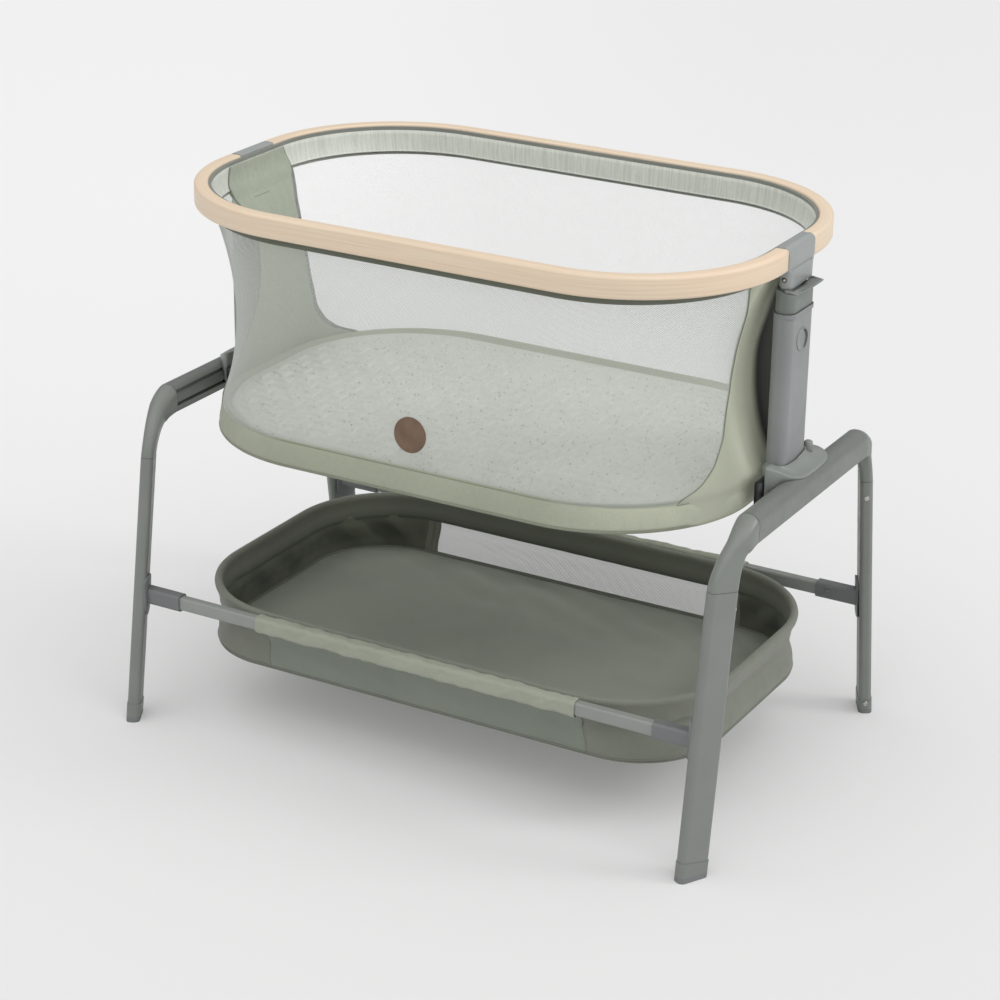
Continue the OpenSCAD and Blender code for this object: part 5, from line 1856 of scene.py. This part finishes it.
@dataclass
class Posts:
    """Moulded shapes of the carriages, sleeves, casings, levers and brackets.

    The sleeve is width, depth and corner radius. A row of the saddle is x, y, the edge's
    height and the wall's lower end, where 0 stands for the beam's top.
    """

    post_x: float = 433.0
    sleeve: tuple[float, float, float] = (31.0, 78.0, 13.0)
    casing_half: tuple[float, float, float] = (14.25, 37.5, 12.0)
    casing_z: tuple[float, float] = (709.3, 742.3)
    beam_x: float = 462.5
    beam_top: float = 483.75
    beam_round: float = 15.0
    rim_x: float = 440.8
    button_z: float = 667.0
    screw_at: tuple[float, float] = (433.5, 756.0)
    knob_at: tuple[float, float] = (446.0, 46.0)
    lever_half: float = 37.8
    saddle: tuple[tuple[float, float, float, float], ...] = (
        (433.6, -72, 505, 461), (442, -68, 502, 461), (451, -60, 498.5, 0), (458.5, -52, 493, 0),
        (465.5, -43, 488.5, 0), (471.5, -31, 485.6, 0), (474, -16, 485, 0), (474.3, 10, 485.2, 0),
        (473.8, 38, 485.6, 0), (472, 56, 486.4, 0), (466.5, 66, 488.5, 0), (455, 71, 492, 0),
        (445, 72, 493.5, 461), (434, 68, 493, 461), (433.6, 50, 492, 461),
        (431, 42.5, 490, 463), (420, 41.8, 491, 470), (415.2, 37, 491, 470), (415, 10, 491, 470),
        (415, -20, 491, 470), (415.2, -37, 492, 470), (420, -42, 493, 470), (431, -43.5, 496.5, 463),
        (433.6, -54, 501, 461))

    def sleeve_plan(self, x: Array, y: Array, grow: float) -> tuple[Array, Array]:
        """Nearest point of the sleeve's plan, grown outwards, to each given point.

        Args:
            x: Places along X.
            y: Places along Y.
            grow: How far the plan is grown.

        Returns:
            x and y of the nearest points.
        """
        w, h, r = self.sleeve
        cx = np.clip(x, self.post_x - w / 2 + r, self.post_x + w / 2 - r)
        cy = np.clip(y, -h / 2 + r, h / 2 - r)
        dx, dy = x - cx, y - cy
        d = np.maximum(np.hypot(dx, dy), 1e-6)
        return cx + dx / d * (r + grow), cy + dy / d * (r + grow)

    def carriage(self, name: str, sx: int) -> bpy.types.Object:
        """Saddle over the beam: walls up to its edge, then a hollow sweep up to the sleeve.

        The plan's corner points are cut off twice and then followed by arc length. From the
        edge the surface follows a quarter ellipse to a collar round the sleeve.

        Args:
            name: Its name.
            sx: 1 for the right end, -1 for the left.

        Returns:
            The piece.
        """
        ring = np.array(self.saddle)
        r = self.beam_round
        over = np.clip(np.abs(ring[:, 0] - self.beam_x) - 1.75, 0, r)
        beam = self.beam_top - r + np.sqrt(r * r - over ** 2)
        ring[:, 3] = np.where(ring[:, 3] == 0, beam + 0.3, ring[:, 3])
        for cut in (0.22, 0.25):
            after = np.roll(ring, -1, 0)
            pair = [ring * (1 - cut) + after * cut, ring * cut + after * (1 - cut)]
            ring = np.stack(pair, 1).reshape(-1, 4)
        x, y, edge, low = (column[:, None] for column in even_ring(ring, 180).T)
        bx, by = self.sleeve_plan(x, y, 1.7)
        inx, iny = self.sleeve_plan(x, y, -0.4)
        top = 495.4 + 0.17 * np.maximum(by, 0) - 0.05 * np.minimum(by, 0)
        v = np.linspace(0, 1, 15)[None, 1:]
        across, up = np.sin(v * math.pi / 2), 1 - np.cos(v * math.pi / 2)
        sweep = grid(x + (bx - x) * across, y + (by - y) * across, edge + (top - edge) * up)
        flat = np.maximum(np.hypot(bx - x, by - y), 1)
        step = 0.18 / flat
        wall = [grid(x, y, low), grid(x, y, low * 0.4 + edge * 0.6), grid(x, y, edge - 1.44),
                grid(x + (bx - x) * step, y + (by - y) * step, edge - 0.54)]
        lip = [grid(bx * 0.75 + inx * 0.25, by * 0.75 + iny * 0.25, top + 0.55), grid(inx, iny, top + 0.5)]
        points = np.concatenate([*wall, sweep, *lip], 1) * (sx, 1, 1)
        return lattice(name, points, wrap_u=True, flip=sx < 0)

    def lip(self, name: str, sx: int) -> bpy.types.Object:
        """Closed band round the sleeve's top: a profile of growth and height round its plan.

        Args:
            name: Its name.
            sx: 1 for the right end, -1 for the left.

        Returns:
            The piece.
        """
        w, h, r = self.sleeve
        profile = ((-0.3, 709.0), (0.2, 708.9), (0.4, 708.2), (0.42, 706.9), (0.05, 706.0), (0.0, 705.3),
                   (0.36, 704.7), (0.4, 703.7), (0.2, 702.9), (-0.3, 702.6))
        grow, z = columns(profile)
        x, y, nx, ny = plan_point(w / 2, h / 2, r, places(144) * quarter_length(w / 2, h / 2, r))
        points = grid(sx * (self.post_x + x + nx * grow), y + ny * grow, z)
        return lattice(name, points, wrap_u=True, wrap_v=True, flip=sx < 0)

    def crescent(self, name: str, sx: int) -> bpy.types.Object:
        """Painted shadow in the gap beside the round button: a dark sheet between two circles, on the sleeve.

        Args:
            name: Its name.
            sx: 1 for the right end, -1 for the left.

        Returns:
            The piece.
        """
        q = np.linspace(-1.05, 1.15, 40)[:, None]
        wide = 4.4 * np.cos(q / 1.2 * math.pi / 2) ** 0.8 + 0.2
        r = 13.8 + np.array([[0.0, 1.0]]) * wide
        points = grid(sx * (self.post_x + 15.66), -3 + r * np.cos(q), self.button_z + r * np.sin(q))
        return lattice(name, points, flip=sx > 0)

    def apron(self, name: str, sx: int) -> bpy.types.Object:
        """Skin of a rim bracket's block: it flows from the rim's face in a hollow curve.

        Args:
            name: Its name.
            sx: 1 for the right end, -1 for the left.

        Returns:
            The piece.
        """
        z = np.array([[791, 790, 782, 774, 769.5, 768.2, 766.5, 764.5, 762, 759, 755, 751, 748, 746.2, 745.2,
                       744.8]])
        ease = 1 - (1 - np.clip((769.5 - z) / 12, 0, 1)) ** 2.4
        grow = -1.8 * smooth((746.6 - z) / 2.0) - 0.8 * (z > 790.5)
        half = 41.0 - 3.3 * ease + grow
        outer = self.rim_x + 0.1 + 2.4 * ease + grow
        inner = 422.5 + 1.3 * ease - grow
        w, cx = (outer - inner) / 2, (outer + inner) / 2
        r = np.minimum(3 + 5.5 * ease, w - 0.6)
        x, y, _, _ = plan_point(w, half, r, places(120) * quarter_length(w, half, r))
        return lattice(name, grid(sx * (cx + x), y, z), wrap_u=True, caps=True, flip=sx > 0)

    def disc(self, name: str, sx: int, rows: Sequence[tuple[float, float]]) -> bpy.types.Object:
        """Round part of the screw in the block's front face: rows of radius and distance.

        Args:
            name: Its name.
            sx: 1 for the right end, -1 for the left.
            rows: Radius and distance from the block's face of each ring.

        Returns:
            The piece.
        """
        r, out = columns(rows)
        q = places(32, FULL_TURN)
        x, z = self.screw_at[0] + r * np.cos(q), self.screw_at[1] + r * np.sin(q)
        return lattice(name, grid(sx * x, -(37.9 + out), z), wrap_u=True, flip=sx > 0)

    def lever(self, name: str, sx: int) -> bpy.types.Object:
        """Squeeze lever: a plate over the casing's top with a rolled edge and a spout.

        Its outer edge follows the casing and runs out to the spout by exp(-(y/w)^2.2) in
        front and in a straight line at the back. A wedge under the spout carries it down
        to the casing.

        Args:
            name: Its name.
            sx: 1 for the right end, -1 for the left.

        Returns:
            The piece.
        """
        half = self.lever_half
        y = np.linspace(-half, half, 91)[:, None]
        far = np.abs(y)
        spout = np.where(y < 0, np.exp(-(far / 12.6) ** 2.2), 1 - y / half)
        o = np.clip((far - 25.5) / 12.4, 0, 1)
        outer = 435.3 + 12.3 * np.sqrt(np.clip(1 - o * o, 0, 1)) + 25 * spout
        outer = np.where(y < 0, outer, 440 + 32.6 * spout)
        edge = np.where(y < 0, 733.6 + 9.0 * (far / 37) ** 4 + 20 * spout, 742.4 + 11.2 * spout)
        inner = np.minimum(outer - 2.0, 440.5 - 6 * o)
        seat = 739.5 + 1.5 * o + 2.4 * smooth(y / 20)
        share, lift, deep = columns((
            (0.0, 0.0, 0), (0.25, -1.3, 0), (0.55, -1.7, 0), (0.8, -0.9, 0), (0.92, 0.5, 0), (0.97, 1.1, 0),
            (1.0, 0.7, 0), (1.01, -0.2, 0), (0.99, -1.2, 0), (0.93, -1.9, 0.07), (0.8, -2.3, 0.2),
            (0.5, -3.4, 0.5), (0.2, -4.4, 0.8), (0.0, -4.6, 1)))
        taper = np.clip((half - far) / 3.0, 0.25, 1)
        x = inner + (outer - inner) * share
        z = seat + (edge - seat) * share + lift * taper - 9 * deep * spout
        points = grid(sx * x, y, z).transpose(1, 0, 2)
        return lattice(name, points, wrap_u=True, caps=True, flip=sx < 0)

    def casing(self, name: str, sx: int) -> bpy.types.Object:
        """Casing over the post's top: straight walls whose top edge slopes down outwards.

        Args:
            name: Its name.
            sx: 1 for the right end, -1 for the left.

        Returns:
            The piece.
        """
        out, up = columns(((-0.2, 0.0), (0.0, 0.01), (0.0, 0.3), (0.0, 0.6), (0.0, 0.95), (-0.5, 0.99),
                           (-1.2, 1.0)))
        half = self.casing_half
        x, y, nx, ny = plan_point(*half, places(144) * quarter_length(*half))
        low, high = self.casing_z
        top = high - 0.249 * (x + half[0]) - 3 * smooth(y / 25)
        points = grid(sx * (self.post_x + x + nx * out), y + ny * out, low + (top - low) * up)
        return lattice(name, points, wrap_u=True, caps=True, flip=sx < 0)

    def knob(self, name: str, sx: int) -> bpy.types.Object:
        """Slide button: a stub with a rounded top, on its own body.

        Args:
            name: Its name.
            sx: 1 for the right end, -1 for the left.

        Returns:
            The piece.
        """
        r, z = columns(((6.0, 487.6), (6.0, 499), (6.2, 501), (6.2, 504.6), (5.8, 506.4), (4.6, 507.6),
                        (2.3, 508.2), (0.05, 508.3)))
        q = places(32, FULL_TURN)
        points = grid(sx * (self.knob_at[0] + r * np.cos(q)), self.knob_at[1] + r * np.sin(q), z)
        return lattice(name, points, wrap_u=True, caps=True, flip=sx < 0)

    def clip(self, name: str, sx: int) -> bpy.types.Object:
        """Black ribbed clip inside the carriage: a block whose face is cut by upright ribs.

        Args:
            name: Its name.
            sx: 1 for the right end, -1 for the left.

        Returns:
            The piece.
        """
        y = np.linspace(-73, -47, 40)[:, None]
        rib = 1.6 * (0.5 + 0.5 * np.cos(FULL_TURN * y / 6.5)) ** 3 - 0.8
        x, z, ribbed = columns(((433, 483, 0), (423.5, 483, 0), (422.5, 481, 1), (422.5, 449, 1),
                                (424, 447, 0), (433, 447, 0)))
        points = grid(sx * (x + ribbed * rib), y, z).transpose(1, 0, 2)
        return lattice(name, points, wrap_u=True, caps=True, flip=sx > 0)

    def build(self, w: Wardrobe) -> None:
        """Makes both ends; the left one is the right one's mirror image.

        Args:
            w: Dresses the pieces.
        """
        p = w.palette
        screw_ring = ((0.01, 0.1), (3.1, 0.15), (3.5, 0.0))
        screw_head = ((0.01, 0.9), (1.0, 0.8), (1.7, 0.6), (2.1, 0.2))
        for side, sx in SIDES:
            shell = self.carriage(f"carriage_shell_{side}", sx)
            thicken(shell, 2.0)
            w.dress(shell, p.moulded, "carriages", f"carriage_{side}")
            w.dress(self.clip(f"carriage_clip_{side}", sx), p.black, "carriages")
            w.dress(self.lip(f"sleeve_lip_{side}", sx), p.post, "carriages")
            # Painted shadow: a black sheet in the gap beside the round button.
            w.dress(self.crescent(f"button_gap_shadow_{side}", sx), p.black, "carriages")
            w.dress(self.apron(f"bracket_block_{side}", sx), p.bracket, "bowl")
            w.dress(self.disc(f"bracket_screw_{side}_ring", sx, screw_ring), p.black, "bowl")
            head = self.disc(f"bracket_screw_{side}_head", sx, screw_head)
            w.dress(head, p.steel, "bowl", "bracket_screws")
            w.dress(self.casing(f"post_casing_{side}", sx), p.casing, "bowl", f"post_head_{side}")
            lever, button = f"height_lever_{side}", f"slide_button_{side}"
            w.dress(self.lever(f"lever_plate_{side}", sx), p.moulded, lever, lever)
            w.dress(self.knob(f"slide_knob_{side}", sx), p.moulded, button, button)


class Hardware:
    """Finishes for the CAD nodes that keep their shape."""

    def build(self, w: Wardrobe) -> None:
        """Picks each node's finish by the start of its name, the longer names first.

        Args:
            w: Dresses the pieces.
        """
        p = w.palette
        table = {"beam": p.beam, "leg_screws": p.steel, "leg": p.frame, "foot_cap": p.elbow,
                 "foot_soles": p.rubber, "socket": p.socket, "crossbar": p.bar, "bar_button": p.socket,
                 "carriage_runners": p.black, "post_sleeve": p.post, "post_button": p.moulded,
                 "upper_tube": p.inner, "lever_pins": p.steel, "base_frame": p.steel, "base_board": p.black}
        for name, node in frame["nodes"].items():
            finish = next((table[start] for start in table if name.startswith(start)), None)
            if finish:
                w.coat(node, finish)


def main() -> None:
    """Builds the scene, class by class."""
    logging.basicConfig(level=logging.INFO, format="%(message)s")
    w = Wardrobe(Palette())
    Studio().build()
    Hardware().build(w)
    Rim().build(w)
    Bowl().build(w)
    Basket().build(w)
    Elbows().build(w)
    Posts().build(w)


if __name__ == "__main__":
    main()
